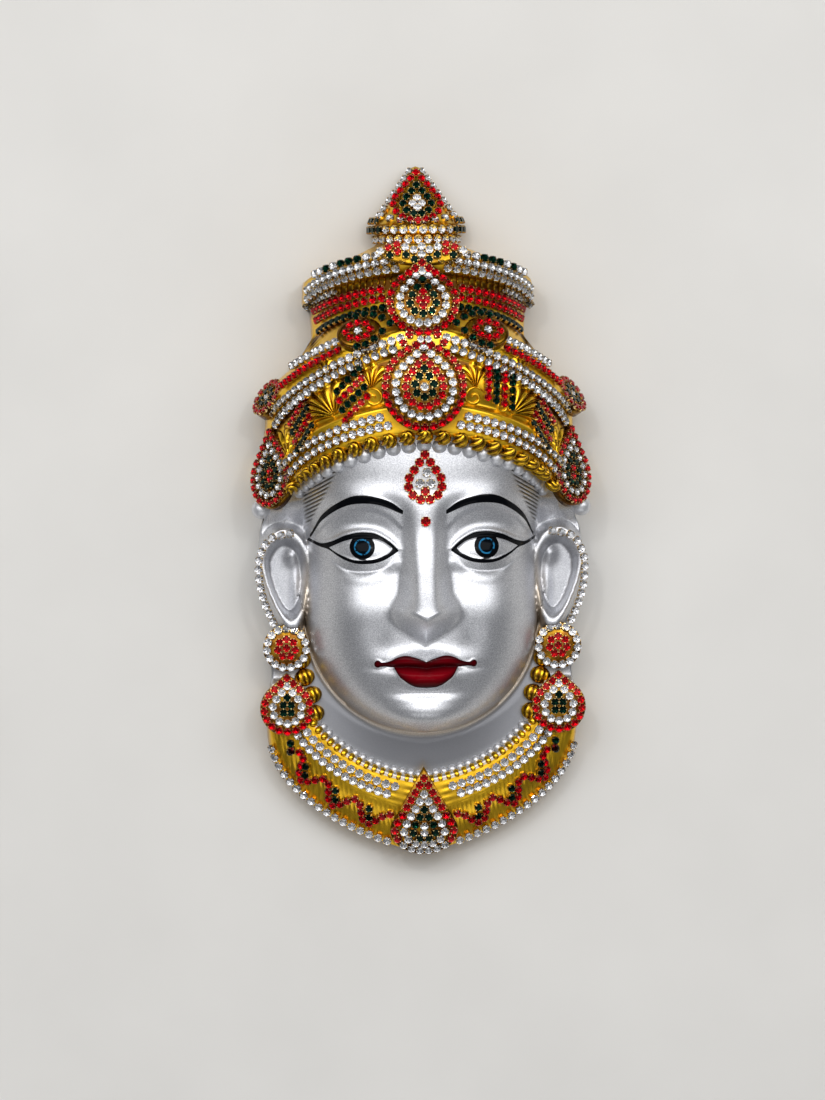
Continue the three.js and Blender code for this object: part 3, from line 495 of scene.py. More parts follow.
def shaded(made, inputs):
    """The material with one shader on its output, its inputs given as for a node."""
    shader = add_node(made.node_tree, "BsdfPrincipled", inputs)
    add_node(made.node_tree, "OutputMaterial", {"Surface": shader.outputs[0]})
    return made


def edge_mask(tree, field):
    """1 inside a painted field and 0 outside, over a soft edge given in millimetres."""
    depth = add_node(tree, "Attribute", attribute_name=field).outputs["Fac"]
    return add_node(tree, "MapRange", {"Value": depth, "From Min": -SOFT_EDGE,
                                       "From Max": SOFT_EDGE}, interpolation_type="SMOOTHSTEP")


def coated(tree, colour, coats):
    """A colour with coats over it, each as the share that it covers and its own colour."""
    for share, coat in coats:
        colour = add_node(tree, "Mix", {0: share, 6: colour, 7: coat}, data_type="RGBA").outputs[2]
    return colour


def mottling(tree, size_mm, detail=2):
    """Values that wander over the piece, in lumps about size_mm across."""
    place = add_node(tree, "TexCoord").outputs["Object"]
    inputs = {"Vector": place, "Scale": 1 / (size_mm * MM), "Detail": detail}
    return add_node(tree, "TexNoise", inputs)


def folded_place(tree):
    """Object coordinates with both halves of the face laid on one."""
    split = add_node(tree, "SeparateXYZ", {0: add_node(tree, "TexCoord").outputs["Object"]})
    side = add_node(tree, "Math", {0: split.outputs["X"]}, operation="ABSOLUTE")
    return add_node(tree, "CombineXYZ", {"X": side, "Y": split.outputs["Y"]})


def hair_groove_shade(tree):
    """Painted shade along the grooves between the hair strokes: 1 there, a sine across them, inside
    the hair's area.
    """
    wave = 2 * math.pi / (HAIR.pitch * MM)
    across = (wave * math.cos(HAIR.turn), wave * math.sin(HAIR.turn), 0)
    along = add_node(tree, "VectorMath", {0: folded_place(tree), 1: across},
                     operation="DOT_PRODUCT").outputs["Value"]
    sine = add_node(tree, "Math", {0: along}, operation="SINE")
    groove_shade = add_node(tree, "MapRange", {"Value": sine, "From Min": 0.6, "From Max": -0.8})
    area = add_node(tree, "Attribute", attribute_name="hair").outputs["Fac"]
    return add_node(tree, "Math", {0: groove_shade, 1: area}, operation="MULTIPLY")


def iris_mask(tree, start, end):
    """1 where the distance from an iris's middle is between two radii in millimetres."""
    middle = (IRIS.x * MM, IRIS.y * MM, 0)
    away = add_node(tree, "VectorMath", {0: folded_place(tree), 1: middle},
                    operation="DISTANCE").outputs["Value"]
    centre, half, edge = (start + end) / 2 * MM, (end - start) / 2 * MM, IRIS.edge * MM
    off = add_node(tree, "Math", {0: away, 1: centre}, operation="SUBTRACT")
    off = add_node(tree, "Math", {0: off}, operation="ABSOLUTE")
    return add_node(tree, "MapRange", {"Value": off, "From Min": half + edge,
                                       "From Max": half - edge})


# Silver flake paint, sprayed and lacquered: a soft bright sheen with a fine sparkle, grey where it
# turns away, and darker as painted shade in the neck, the ear bowls and the hair's grooves. Gold
# lacquer: deep yellow, with painted shade in brown in the hollows. Black and red enamel, brushed
# on;
# the lips darken towards their outline as painted shade.
SILVER = srgb("#E6E7EA")
SILVER_DARK = srgb("#BCBDC2")
GOLD = srgb("#F3C128")
# Brown for painted shade in the gold's hollows and grooves
GOLD_SHADE_BROWN = srgb("#643C04")
BLACK = srgb("#07080B")
LIP_RED = srgb("#7A0310")
LIP_EDGE_SHADE = srgb("#1E0104")
PUPIL = srgb("#04090F")
WARM_POOL = srgb("#C2A676")
# Darker silver for painted shade in the neck under the chin and in the ear bowls
SILVER_SHADE = srgb("#8E8F94")
# Painted shade along the grooves between the hair strokes
HAIR_GROOVE_SHADE = srgb("#55514B")
IRIS_BLUE = srgb("#25719C")
RESIN = srgb("#D9CDB4")
RESIN_DARK = srgb("#B9AB90")
FLAKE_SIZE = 0.35
SOFT_EDGE = 0.07


def painted_casting():
    """The mask's paints, each inside its own field: silver, gold, and black and red enamel."""
    made, tree = new_tree("silver_gold_paint")
    pool, neck_ear_shade, hollow, lip_depth = (
        add_node(tree, "Attribute", attribute_name=name).outputs["Fac"]
        for name in ("pool", "neck_ear_shade", "hollow", "lips"))
    flakes = mottling(tree, FLAKE_SIZE, 1)
    sparkle = add_node(tree, "MapRange", {"Value": flakes, "From Min": 0.35, "From Max": 0.68})
    # Painted shade on the silver: darker in the neck and the ear bowls, and along the hair's
    # grooves
    silver = coated(tree, SILVER_DARK, [(sparkle, SILVER), (pool, WARM_POOL), (neck_ear_shade, SILVER_SHADE),
                                        (hair_groove_shade(tree), HAIR_GROOVE_SHADE)])
    # Painted shade: the gold turns brown in its hollows and grooves, mottled at random
    deep = add_node(tree, "Math", {0: hollow, 1: mottling(tree, 14, 3)}, operation="ADD")
    deep = add_node(tree, "MapRange", {"Value": deep, "From Min": 0.6, "From Max": 1.3})
    gold = coated(tree, GOLD, [(deep, GOLD_SHADE_BROWN)])
    in_gold, in_black, in_lips = (edge_mask(tree, f) for f in ("gold", "black", "lips"))
    # Painted shade: the lips darken towards their outline and are brightest in the middle
    lip_depth = add_node(tree, "MapRange", {"Value": lip_depth, "From Max": 3.0})
    lips = coated(tree, LIP_EDGE_SHADE, [(lip_depth, LIP_RED)])
    ring = iris_mask(tree, IRIS.ring - IRIS.ring_half, IRIS.ring + IRIS.ring_half)
    brush = add_node(tree, "MapRange", {"Value": mottling(tree, 1.1, 1), "From Min": 0.36,
                                        "From Max": 0.5})
    ring = add_node(tree, "Math", {0: ring, 1: brush}, operation="MULTIPLY")
    colour = coated(tree, silver, [
        (in_gold, gold), (in_lips, lips), (in_black, BLACK),
        (iris_mask(tree, -1, IRIS.ring), PUPIL), (ring, IRIS_BLUE)])
    enamel = add_node(tree, "Math", {0: in_black, 1: in_lips}, operation="MAXIMUM")
    rough = add_node(tree, "Mix", {0: in_gold, 2: 0.44, 3: 0.28})
    return shaded(made, {
        "Base Color": colour, "Coat Roughness": 0.2,
        "Metallic": add_node(tree, "Mix", {0: enamel, 2: 0.92, 3: 0.0}),
        "Roughness": add_node(tree, "Mix", {0: enamel, 2: rough, 3: 0.12}),
        "Specular IOR Level": add_node(tree, "Mix", {0: enamel, 2: 0.5, 3: 0.06}),
        "Coat Weight": add_node(tree, "Mix", {0: enamel, 2: 0.12, 3: 0.0}),
        "Normal": add_node(tree, "Bump", {"Height": flakes, "Strength": 0.10,
                                          "Distance": 0.05 * MM})})


def mottled(name, tones, size_mm, detail, inputs, grit=None):
    """A material whose colour wanders between two tones in lumps of a size, and may be gritty."""
    made, tree = new_tree(name)
    if grit:
        grain_mm, strength, depth_mm = grit
        inputs["Normal"] = add_node(tree, "Bump", {
            "Height": mottling(tree, grain_mm, 3), "Strength": strength,
            "Distance": depth_mm * MM})
    tone = coated(tree, tones[0], [(mottling(tree, size_mm, detail), tones[1])])
    return shaded(made, {"Base Color": tone, **inputs})


def gold_lacquer():
    """Yellow lacquer over bright metal paint: glossy, with painted shade in brown in the carving's
    grooves.
    """
    made, tree = new_tree("gold_lacquer")
    groove_shade = add_node(tree, "Attribute", attribute_name="groove_shade").outputs["Fac"]
    deep = add_node(tree, "Math", {0: groove_shade, 1: mottling(tree, 3.5, 3)}, operation="ADD")
    deep = add_node(tree, "MapRange", {"Value": deep, "From Min": 0.5, "From Max": 1.35})
    ripple = add_node(tree, "Bump", {"Height": mottling(tree, 0.9), "Strength": 0.25,
                                     "Distance": 0.1 * MM})
    return shaded(made, {
        "Base Color": coated(tree, GOLD, [(deep, GOLD_SHADE_BROWN)]), "Metallic": 1.0,
        "Roughness": 0.27, "Coat Weight": 0.15, "Coat Roughness": 0.15, "Normal": ripple})


def cut_glass(name, colour, glint):
    """Machine-cut glass, clear or tinted: see-through down to its foiled back, which colours the
    light off its facets too."""
    return shaded(new_tree(name)[0], {
        "Base Color": srgb(colour), "Roughness": 0.02, "IOR": 1.52, "Specular Tint": srgb(glint),
        "Transmission Weight": 1.0})


def bright_metal(name, code, roughness):
    """Plated or foiled metal: mirror-like, with a faint unevenness."""
    colour = srgb(code)
    shade = [c * 0.8 for c in colour[:3]] + [1]
    return mottled(name, (shade, colour), 0.8, 2, {"Metallic": 1.0, "Roughness": roughness})


PAINT = painted_casting()
# Unpainted resin behind the casting: matt, pale and a little blotchy
RAW = mottled("raw_resin", (RESIN, RESIN_DARK), 9, 4, {"Roughness": 0.62}, (1.2, 0.3, 0.2))
GILT_PAINT = gold_lacquer()
# The face's silver flake paint on the small lobes and beads
SILVER_PAINT = mottled("silver_flake_paint", (SILVER_DARK, SILVER), FLAKE_SIZE, 1, {
    "Metallic": 0.7, "Roughness": 0.4, "Coat Weight": 0.12, "Coat Roughness": 0.2})
STONE_FINISHES = [
    cut_glass("clear_glass", "#FFFFFF", "#FFFFFF"), cut_glass("red_glass", "#CE0512", "#FF7470"),
    cut_glass("green_glass", "#022015", "#46685A"), bright_metal("mirror_foil", "#E2E2E4", 0.13),
    bright_metal("gilt_cup", "#DDBF82", 0.2)]
CLEAR, RED, GREEN, FOIL, GILT = range(5)


# The casting's mesh: rows along arcs and columns across, denser in the middle of the face

ROW_PLAN = [
    (NECKLACE_EDGE, 44), (NECKLACE_INNER, 24), (JAW, 44), (MOUTH, 84), (EYES, 44), (BROWS, 38),
    (CROWN_EDGE, 16), (BROW_BAND_TOP, 24), (ARCH_FOOT, 12), (ARCH_TOP, 12), (DRUM_FOOT, 12),
    (DRUM_TOP, 12), (RIM_TOP, 12), (NECK, 0),
]
COLUMNS = 240
CENTRE_DENSITY = 0.82
BACK_STEP = 4
CAVITY_LOW = arc(-71, -107, 46, 0.72)
CAVITY_HIGH = arc(69.5, 77, 31)
# Painted shade in the hollows along the crown's tiers: line, how far off it and half width
HOLLOW_SHADE_LINES = ((ARCH_FOOT, -1.6, 1.8), (DRUM_TOP, -2.4, 2.6), (DRUM_FOOT, -1.4, 1.4))


def outline_half(side):
    """Half width of the outline, its corners softened over two millimetres."""
    places, halves = np.array(OUTLINE, float).T
    return np.mean([np.interp(side + off, places, halves) for off in (-1, -0.5, 0, 0.5, 1)], 0)


def front_grid():
    """x and y of the front's points: each row lies on an arc and ends at the outline."""
    lines = [mix(ROW_PLAN[k][0], ROW_PLAN[k + 1][0], i / ROW_PLAN[k][1])
             for k in range(len(ROW_PLAN) - 1) for i in range(ROW_PLAN[k][1])]
    lines = np.array(lines + [NECK])
    t = np.linspace(-1, 1, COLUMNS + 1)
    x = outline_half(lines[:, 0])[:, None] * t * (CENTRE_DENSITY + (1 - CENTRE_DENSITY) * t * t)
    return x, arc_y(lines.T[:, :, None], x)


def cavity_grid(rows, columns):
    """Points of the hollow: the front's least height in two rings round each, less the wall."""
    t = np.linspace(0, 1, rows)[:, None]
    lines = mix(CAVITY_LOW[:, None, None], CAVITY_HIGH[:, None, None], t)
    half = np.min([outline_half(lines[0] + off) - RIM_WIDTH
                   for off in (-RIM_WIDTH, 0, RIM_WIDTH)], 0)
    x = half * np.linspace(-1, 1, columns)
    y = arc_y(lines, x)
    least = np.full(x.shape, np.inf)
    for radius in (0.9 * WALL, 1.7 * WALL):
        for turn in np.arange(8) * math.pi / 4:
            around = form(x + radius * math.cos(turn), y + radius * math.sin(turn))
            least = np.minimum(least, around)
    return beside(x, y, np.maximum(least - WALL, 2))


def border(rows, columns):
    """Indices round a grid's edge, in order."""
    bottom = np.arange(columns)
    right = np.arange(1, rows) * columns + columns - 1
    top = (rows - 1) * columns + np.arange(columns - 2, -1, -1)
    left = np.arange(rows - 2, 0, -1) * columns
    return np.concatenate([bottom, right, top, left])


def painted_fields(x, y):
    """How deep inside each paint a point is, in millimetres, and its shares of tints and of painted
    shade, by name.
    """
    side = np.abs(x)
    from_jaw, from_inner = jaw_distance(x, y), arc_y(NECKLACE_INNER, x) - y
    gold = gold_field(x, y)
    pool = 0.55 * bell(from_jaw - 0.6, 1.3) * step(-10, -26, y) + 0.5 * bell(gold + 0.6, 0.9)
    # Painted shade for the gold: brown in the woven band's grooves, along the crown's tiers and
    # round the pads
    relief = np.where(from_inner > 2.5, 0.2 - 0.2 * weave(x, y), 0.1)
    for line, off, reach in HOLLOW_SHADE_LINES:
        relief = np.maximum(relief, 0.95 * bell(y - arc_y(line, x) - off, reach))
    for p in (UPPER_DROP, LOWER_DROP):
        relief = np.maximum(relief, 0.6 * step(6, 0.5, pad_distance(p, x, y)))
    # Painted shade on the silver, in the neck under the chin and in the ear bowls
    neck = step(0, 2, from_jaw) * step(0, 5, -from_inner) * step(-34, -46, y)
    in_ear = step(0.95, 0.6, ear_radius(x, y)) * step(37, 39, side)
    hair = hair_share(side, y) * step(0.3, -1, from_jaw)
    below = y < arc_y(CROWN_EDGE, x) - 1
    depths = {"gold": gold, "black": np.where(below, black_field(side, y), -1),
              "lips": np.where(below, lip_field(side, y), -1)}
    shares = {"neck_ear_shade": np.maximum(0.95 * neck, 0.45 * in_ear), "hair": hair, "pool": pool,
              "hollow": relief}
    return depths, shares


def casting():
    """The closed casting: front, wall to the back plane, flat rim and the hollow inside it."""
    x, y = front_grid()
    rows, columns = x.shape
    front = beside(x, y, form(x, y) + fine_relief(x, y)).reshape(-1, 3)
    edge = border(rows, columns)
    small_rows, small_columns = (rows - 1) // BACK_STEP + 1, (columns - 1) // BACK_STEP + 1
    hollow = cavity_grid(small_rows, small_columns).reshape(-1, 3)
    small_edge = border(small_rows, small_columns)
    sheets = [front, front[edge] * [1, 1, 0], hollow, hollow[small_edge] * [1, 1, 0]]
    a, b, c = np.cumsum([len(sheet) for sheet in sheets[:3]])
    k, m = np.arange(len(edge)), np.arange(len(small_edge))
    n, after = np.roll(k, -1), np.roll(m, -1)
    wall = beside(edge, a + k, a + n, edge[n])
    inner_wall = beside(b + small_edge, b + small_edge[after], c + after, c + m)
    steps = [a + (m * BACK_STEP + s) % len(edge) for s in range(BACK_STEP + 1)]
    rim = np.stack([c + m, c + after] + steps[::-1], -1)
    inside = grid_faces(small_rows, small_columns)[:, ::-1] + b
    unpainted = np.full(len(hollow) + len(small_edge), -1.0)

    def spread(values):
        """Values of the front's grid carried down the wall, and none behind."""
        return np.concatenate([values.reshape(-1), values.reshape(-1)[edge], unpainted])

    depths, shares = painted_fields(x, y)
    fields = {name: spread(values) for name, values in depths.items()}
    fields |= {name: np.clip(spread(values), 0, 1) for name, values in shares.items()}
    skin = (np.concatenate(sheets), [grid_faces(rows, columns), wall, inner_wall, rim, inside],
            [0, 0, 1, 1, 1])
    make_piece("mask_casting", skin, [PAINT, RAW], ["mask_body"], fields=fields)


# Raised plates of the casting that carry stones: place, half width and height, how far the point
# is in radii, heights of the low and the high end, and the dome's rise
Pad = namedtuple("Pad", "x y w h point low high dome")
UPPER_DROP = Pad(0, 68.4, 11.1, 10.1, 1.36, 51.5, 46, 2.5)
LOWER_DROP = Pad(0, 40.4, 13, 13.6, 1.17, 53, 51.5, 3)
PENDANT = Pad(0, -106.6, 10.2, 6.8, 2.7, 12.5, 17, 1.2)
STUDS = {m: Pad(m * 45.2, -45.6, 6.7, 6.7, 1, 16, 16, 0.8) for m in SIDES}
EAR_DROPS = {m: Pad(m * 45.2, -65.8, 7.9, 7.9, 1.35, 16.5, 17, 0.8) for m in SIDES}
PAD_DEPTH = 12
PAD_MARGIN = 0.9


def drop_radius(point, angle):
    """Outline radius on a unit circle whose tangents meet in a point above it."""
    if point <= 1:
        return np.ones_like(angle)
    tangent = math.acos(1 / point)
    away = np.abs((angle + np.pi) % (2 * np.pi) - np.pi)
    return np.where(away < tangent, 1 / np.cos(tangent - np.minimum(away, tangent)), 1)


def pad_distance(p, x, y):
    """Distance outwards from a pad's outline."""
    s, t = (x - p.x) / p.w, (y - p.y) / p.h
    return (np.hypot(s, t) / drop_radius(p.point, np.arctan2(s, t)) - 1) * p.w


def pad_height(p, s, t):
    """A slope from the pad's low to its high end with a shallow dome."""
    share = np.minimum(np.hypot(s / p.w, t / p.h), 1)
    slope = mix(p.low, p.high, np.clip(t / (2 * p.h) + 0.5, 0, 1))
    return slope + p.dome * (1 - share * share)


PAD_SIDES = 72
PAD_RINGS = 8
PLATE_SIDES = 48
# Painted shade on the pads: how deep in the gold's brown their rings are, from the middle out, then
# their two ends
PAD_GROOVE_SHADES = np.append(np.repeat([0.8] * PAD_RINGS + [0.6, 0.2], PAD_SIDES), [0.8, 0.2])


def drop_rings(wide, tall, point, shares, sides):
    """Across and up of rings along a drop's outline, each at a share of its size."""
    angle = round_turns(sides)
    radius = drop_radius(point, angle)
    shares = np.array(shares)[:, None]
    return wide * shares * radius * np.sin(angle), tall * shares * radius * np.cos(angle)


def pad_plate(p):
    """Domed top of a pad, a rounded shoulder and a wall that narrows down into the casting."""
    shares = np.append(np.linspace(1 / PAD_RINGS, 1, PAD_RINGS), [1.02, 0.88])
    drops = np.append(np.zeros(PAD_RINGS), [0.35, PAD_DEPTH])
    s, t = drop_rings(p.w + PAD_MARGIN, p.h + PAD_MARGIN, p.point, shares, PAD_SIDES)
    z = pad_height(p, s, t) - drops[:, None]
    top = (p.x, p.y, float(pad_height(p, np.zeros(1), np.zeros(1))[0]))
    foot = (p.x, p.y, float(z[-1].mean()))
    return outward(closed_rings(beside(p.x + s, p.y + t, z), top, foot))


# Stones

STONE = Sizes(girdle=1.5, girdle_height=0.95, table=0.95, table_height=1.4, culet=0.5,
              cup=1.54, cup_height=0.8, cup_foot=1.3, seat=1.5 - 0.08,
              cone=0.5 - 0.09, facets=8)
# A claw's two ends: from and to outwards, half width and height
CLAW = [(1.42, 1.64, 0.26, 0.4), (1.12, 1.4, 0.2, 1.36)]
PITCH = 3.1
CHAIN_LIFT = 0.35


def ring_points(radius, height, count, turn=0.0):
    """Points evenly round the z axis, the first turned from +X."""
    angle = np.arange(count) * 2 * np.pi / count + turn
    return beside(radius * np.cos(angle), radius * np.sin(angle), np.full(count, height))


def glass_stone(finish):
    """Cut stone: a flat table, two tiers of crown facets, and a shallow foiled back."""
    n = STONE.facets
    points = np.concatenate([ring_points(STONE.table, STONE.table_height, n),
                             ring_points(STONE.girdle, STONE.girdle_height, n, np.pi / n),
                             [[0, 0, STONE.culet]]])
    k = np.arange(n)
    after = (k + 1) % n
    star = beside(k, n + k, after)
    kite = beside(n + k, n + after, after)
    back = beside(n + after, n + k, np.full(n, 2 * n))
    return points, [k[None], star, kite, back], [finish, finish, finish, FOIL]


def gilt_cup():
    """Cup round a stone: a tapered wall, a flat foot and a foiled cone that holds the stone."""
    n = STONE.facets
    rings = [ring_points(radius, height, n, np.pi / n) for radius, height in (
        (STONE.cup_foot, 0), (STONE.cup, STONE.cup_height), (STONE.seat, STONE.cup_height))]
    points = np.concatenate([*rings, [[0, 0, STONE.cone]]])
    k = np.arange(n)
    after = (k + 1) % n
    walls = [beside(low + k, low + after, low + n + after, low + n + k) for low in (0, n)]
    cone = beside(2 * n + k, 2 * n + after, np.full(n, 3 * n))
    return points, [*walls, cone, k[::-1][None]], [GILT, GILT, FOIL, GILT]


def claws():
    """Four claws bent over the stone's edge: slanted blocks, wider at the foot."""
    corners = np.array([(r, side * half, z) for near, far, half, z in CLAW
                        for r, side in ((near, -1), (far, -1), (far, 1), (near, 1))])
    faces = np.array([[0, 3, 2, 1], [4, 5, 6, 7], [0, 1, 5, 4], [1, 2, 6, 5], [2, 3, 7, 6],
                      [3, 0, 4, 7]])
    skins = []
    for turn in np.pi / 4 + np.arange(4) * np.pi / 2:
        x = corners[:, 0] * np.cos(turn) - corners[:, 1] * np.sin(turn)
        y = corners[:, 0] * np.sin(turn) + corners[:, 1] * np.cos(turn)
        skins.append(outward((beside(x, y, corners[:, 2]), [faces], [GILT])))
    return joined(skins)


SETTING = joined([gilt_cup(), claws()])


def stones_at(places, ups, forwards, colours, scale=1.0):
    """Set stones at places, standing along ups, with a side of the cup facing forwards."""
    ups = unit(ups)
    across = unit(np.cross(forwards, ups))
    axes = np.stack([across, np.cross(ups, across), ups], 1)
    colours = np.broadcast_to(colours, len(places))
    skins = [repeated(SETTING, places, axes, scale)]
    for colour in (CLEAR, RED, GREEN):
        chosen = colours == colour
        if chosen.any():
            skins.append(repeated(glass_stone(colour), places[chosen], axes[chosen], scale))
    return joined(skins)


def on_surface(x, y, pitch):
    """Places a pitch apart along a route over the form, measured on its surface."""
    legs = np.linalg.norm(np.diff(on_form(x, y), axis=0), axis=1)
    walked = np.append(0, np.cumsum(legs))
    at = np.linspace(0, walked[-1], max(int(round(walked[-1] / pitch)) + 1, 2))
    return np.interp(at, walked, x), np.interp(at, walked, y)


def walked_flat(x, y):
    """Distance walked along a flat route, at each of its points."""
    return np.append(0, np.cumsum(np.hypot(np.diff(x), np.diff(y))))


def smoothed(values):
    """Each value averaged with its neighbours along a route, the ends kept."""
    padded = np.concatenate([values[:1], values, values[-1:]])
    return (padded[:-2] + 2 * padded[1:-1] + padded[2:]) / 4


def chain_on_form(x, y, colours, pitch=PITCH, scale=1.0, facing=0.0):
    """A strand of set stones along a route on the casting, turned by a share to face forwards."""
    x, y = on_surface(x, y, pitch)
    ups = unit(smoothed(smoothed(front_normal(x, y))))
    ups = unit(ups + [0, 0, facing])
    lift = CHAIN_LIFT + 0.45 * facing
    x, y = np.stack([x, y]) - ups[:, :2].T * [[0.6], [1]] * (lift + STONE.table_height)
    places = beside(x, y, smoothed(form(x, y))) + ups * lift
    return stones_at(places, ups, np.gradient(places, axis=0), np.resize(colours, len(x)), scale)


def stones_on_form(x, y, colours, lift, scale, reach=2.0, forwards=(0, 1, 0)):
    """Single stones on the casting, each square to it."""
    x, y = np.array([x, y], float)
    ups = front_normal(x, y, reach)
    places = on_form(x, y) + ups * lift
    return stones_at(places, ups, np.broadcast_to(forwards, places.shape), colours, scale)


def off_arc(line, away, start, end, count=160):
    """A route along an arc from one x to another, moved off it at right angles."""
    x = np.linspace(start, end, count)
    slope = arc_y(line, x + 0.5) - arc_y(line, x - 0.5)
    scale = away / np.hypot(slope, 1)
    return x - slope * scale, arc_y(line, x) + scale


def stone_piece(name, skin, node):
    """A piece of set stones in place of one CAD node, with all the stones' finishes."""
    make_piece(name, skin, STONE_FINISHES, [node], smooth=False)


def strand_piece(node, skin):
    """A piece named after its CAD node."""
    stone_piece(node + "_stones", skin, node)


RIM_ROWS = arc(71.2, 84.6, 39.6, 0.93)
ARCH_ROWS = arc(24.5, 57.2, 50.8, 0.62)
BROW_ROWS = arc(6, 30.7, 48)
# Runs of cup chain along arcs: for each node its colour, how far it turns to face forwards, and its
# rows as line, how far off it, and from and to across
ROOF_PATTERN = (CLEAR, CLEAR, CLEAR, GREEN, GREEN, GREEN, CLEAR, GREEN)
RUNS = {
    "roof_stones": (ROOF_PATTERN, 1.6, [(RIM_ROWS, 1.1, 12, 34)]),
    "rim_chain_upper": (CLEAR, 0.3, [(RIM_ROWS, -1.6, 6.6, 38.4)]),
    "rim_chain_lower": (CLEAR, 0.2, [(shifted(RIM_ROWS, -3.1), -1.6, 8.8, 38.4),
                                     (shifted(RIM_ROWS, -6.1), -1.6, 29, 38.4)]),
    "drum_red_band": (RED, 0.2, [(DRUM_FOOT, 6.1, 12.6, 31.4), (DRUM_FOOT, 3.1, 12.6, 32.2)]),
    "drum_green_chain": (GREEN, 0.2, [(DRUM_FOOT, 0.1, 12.8, 33.4)]),
    "shoulder_chain": (CLEAR, 1.2, [(ARCH_TOP, 4.2, 27, 40)]),
    "arch_red_chain": (RED, 0.8, [(ARCH_TOP, 1.3, 27.5, 45)]),
    "arch_chain_outer": (CLEAR, 0.1, [(ARCH_ROWS, 1.6, 7.2, 48)]),
    "arch_chain_inner": (CLEAR, 0.1, [(ARCH_ROWS, -1.5, 10.6, 49.6)]),
    "brow_chain_upper": (CLEAR, 0, [(BROW_ROWS, 1.6, 14.4, 45.4)]),
    "brow_chain_lower": (CLEAR, 0, [(BROW_ROWS, -1.6, 12.4, 46.4)]),
    "collar_chain_inner": (CLEAR, 0, [(NECKLACE_INNER, -3.9, 8.6, 35.4)]),
    "collar_chain_outer": (CLEAR, 0, [(NECKLACE_INNER, -7, 10.4, 35.8)]),
    "necklace_edge_chain": (CLEAR, 0.2, [(NECKLACE_EDGE, 0.4, 12.2, 50.6)]),
}


def runs_of_chain():
    """Strands of stones along arcs, the same on both sides."""
    for name, (colour, facing, rows) in RUNS.items():
        for m, side in SIDES.items():
            skins = [chain_on_form(*off_arc(line, away, m * start, m * end), colour, facing=facing)
                     for line, away, start, end in rows]
            strand_piece(f"{name}_{side}", joined(skins))


def ring_stones(wide, tall, point, share, pitch):
    """Evenly spaced places round a drop's outline at a share of its size, from its point round."""
    angle = np.linspace(0, 2 * np.pi, 240)
    radius = drop_radius(point, angle) * share
    s, t = wide * radius * np.sin(angle), tall * radius * np.cos(angle)
    walked = walked_flat(s, t)
    count = max(int(round(walked[-1] / pitch)), 1)
    at = np.arange(count) * walked[-1] / count
    return np.interp(at, walked, s), np.interp(at, walked, t)


def drop_layout(wide, tall, point, rings, pitch, sharpen=0.0):
    """Places and colours of a drop's rings of stones; the inner rings can be sharper."""
    parts = []
    for share, colour in rings:
        s, t = np.zeros((2, 1))
        if share > 0:
            s, t = ring_stones(wide, tall, point * share ** -sharpen, share, pitch)
        parts.append((s, t, np.full(len(s), colour)))
    return [np.concatenate(values) for values in zip(*parts)]


def pad_stones(p, rings, pitch, scale, clear_below=-99, sharpen=0.0):
    """Rings of stones on a pad, each square to its dome, and clear ones along its foot if asked."""
    s, t, colours = drop_layout(p.w, p.h, p.point, rings, pitch, sharpen)
    colours = np.where(t < clear_below, CLEAR, colours)
    d = 0.5
    ds = (pad_height(p, s + d, t) - pad_height(p, s - d, t)) / (2 * d)
    dt = (pad_height(p, s, t + d) - pad_height(p, s, t - d)) / (2 * d)
    ups = unit(beside(-ds, -dt, np.ones_like(ds)))
    places = beside(p.x + s, p.y + t, pad_height(p, s, t)) + ups * 0.1
    forwards = beside(-t, s, np.zeros_like(s)) + [0, 1e-3, 0]
    return stones_at(places, ups, forwards, colours, scale)


# Rings of stones on the pads, from the outside in, as shares of the pad's size with their colour;
# then the stones' pitch and scale
DROP_STONES = ([(0.95, RED), (0.67, CLEAR), (0.38, GREEN), (0.12, RED)], 2.86, 0.98)
MEDALLION_STONES = ([(0.96, RED), (0.71, CLEAR), (0.47, RED), (0.24, GREEN), (0, CLEAR)], 2.9, 0.99)
PENDANT_STONES = ([(0.94, RED), (0.65, CLEAR), (0.37, GREEN), (0.08, CLEAR)], 2.85, 0.95)
STUD_STONES = ([(0.95, CLEAR), (0.43, RED), (0, RED)], 2.72, 0.93)
EAR_DROP_STONES = ([(0.95, RED), (0.6, CLEAR), (0.22, GREEN)], 2.75, 0.93)
SHARPEN = 0.3
# Between the lower medallion and the upper drop: places of two small clear stones, and across and
# up of four red ones on the casting
DROP_PAIR = np.array([[-1.1, 56.1, 54.2], [1.5, 56.1, 54.2]])
DROP_LINK = [(-6.6, 55), (-4.6, 57.6), (4.6, 57.6), (6.6, 55)]


def front_drops():
    """Stones of the pads, and those between the lower medallion and the upper drop."""
    upper = pad_stones(UPPER_DROP, *DROP_STONES, sharpen=SHARPEN)
    stone_piece("upper_teardrop", upper, "upper_teardrop_stones")
    lower = pad_stones(LOWER_DROP, *MEDALLION_STONES, sharpen=SHARPEN)
    pair = stones_at(DROP_PAIR, np.array([[0, 0.1, 1.0]] * 2), np.array([[0, 1.0, 0]] * 2),
                     CLEAR, 0.8)
    link = stones_on_form(*zip(*DROP_LINK), RED, CHAIN_LIFT, 0.95)
    stone_piece("lower_medallion", joined([lower, pair, link]), "lower_medallion_stones")
    pendant = pad_stones(PENDANT, *PENDANT_STONES, clear_below=-4.2)
    stone_piece("necklace_pendant", pendant, "pendant_stones")
    for m, side in SIDES.items():
        stone_piece(f"ear_stud_{side}", pad_stones(STUDS[m], *STUD_STONES),
                    f"ear_stud_stones_{side}")
        drop = pad_stones(EAR_DROPS[m], *EAR_DROP_STONES, sharpen=SHARPEN)
        stone_piece(f"ear_drop_{side}", drop, f"ear_drop_stones_{side}")


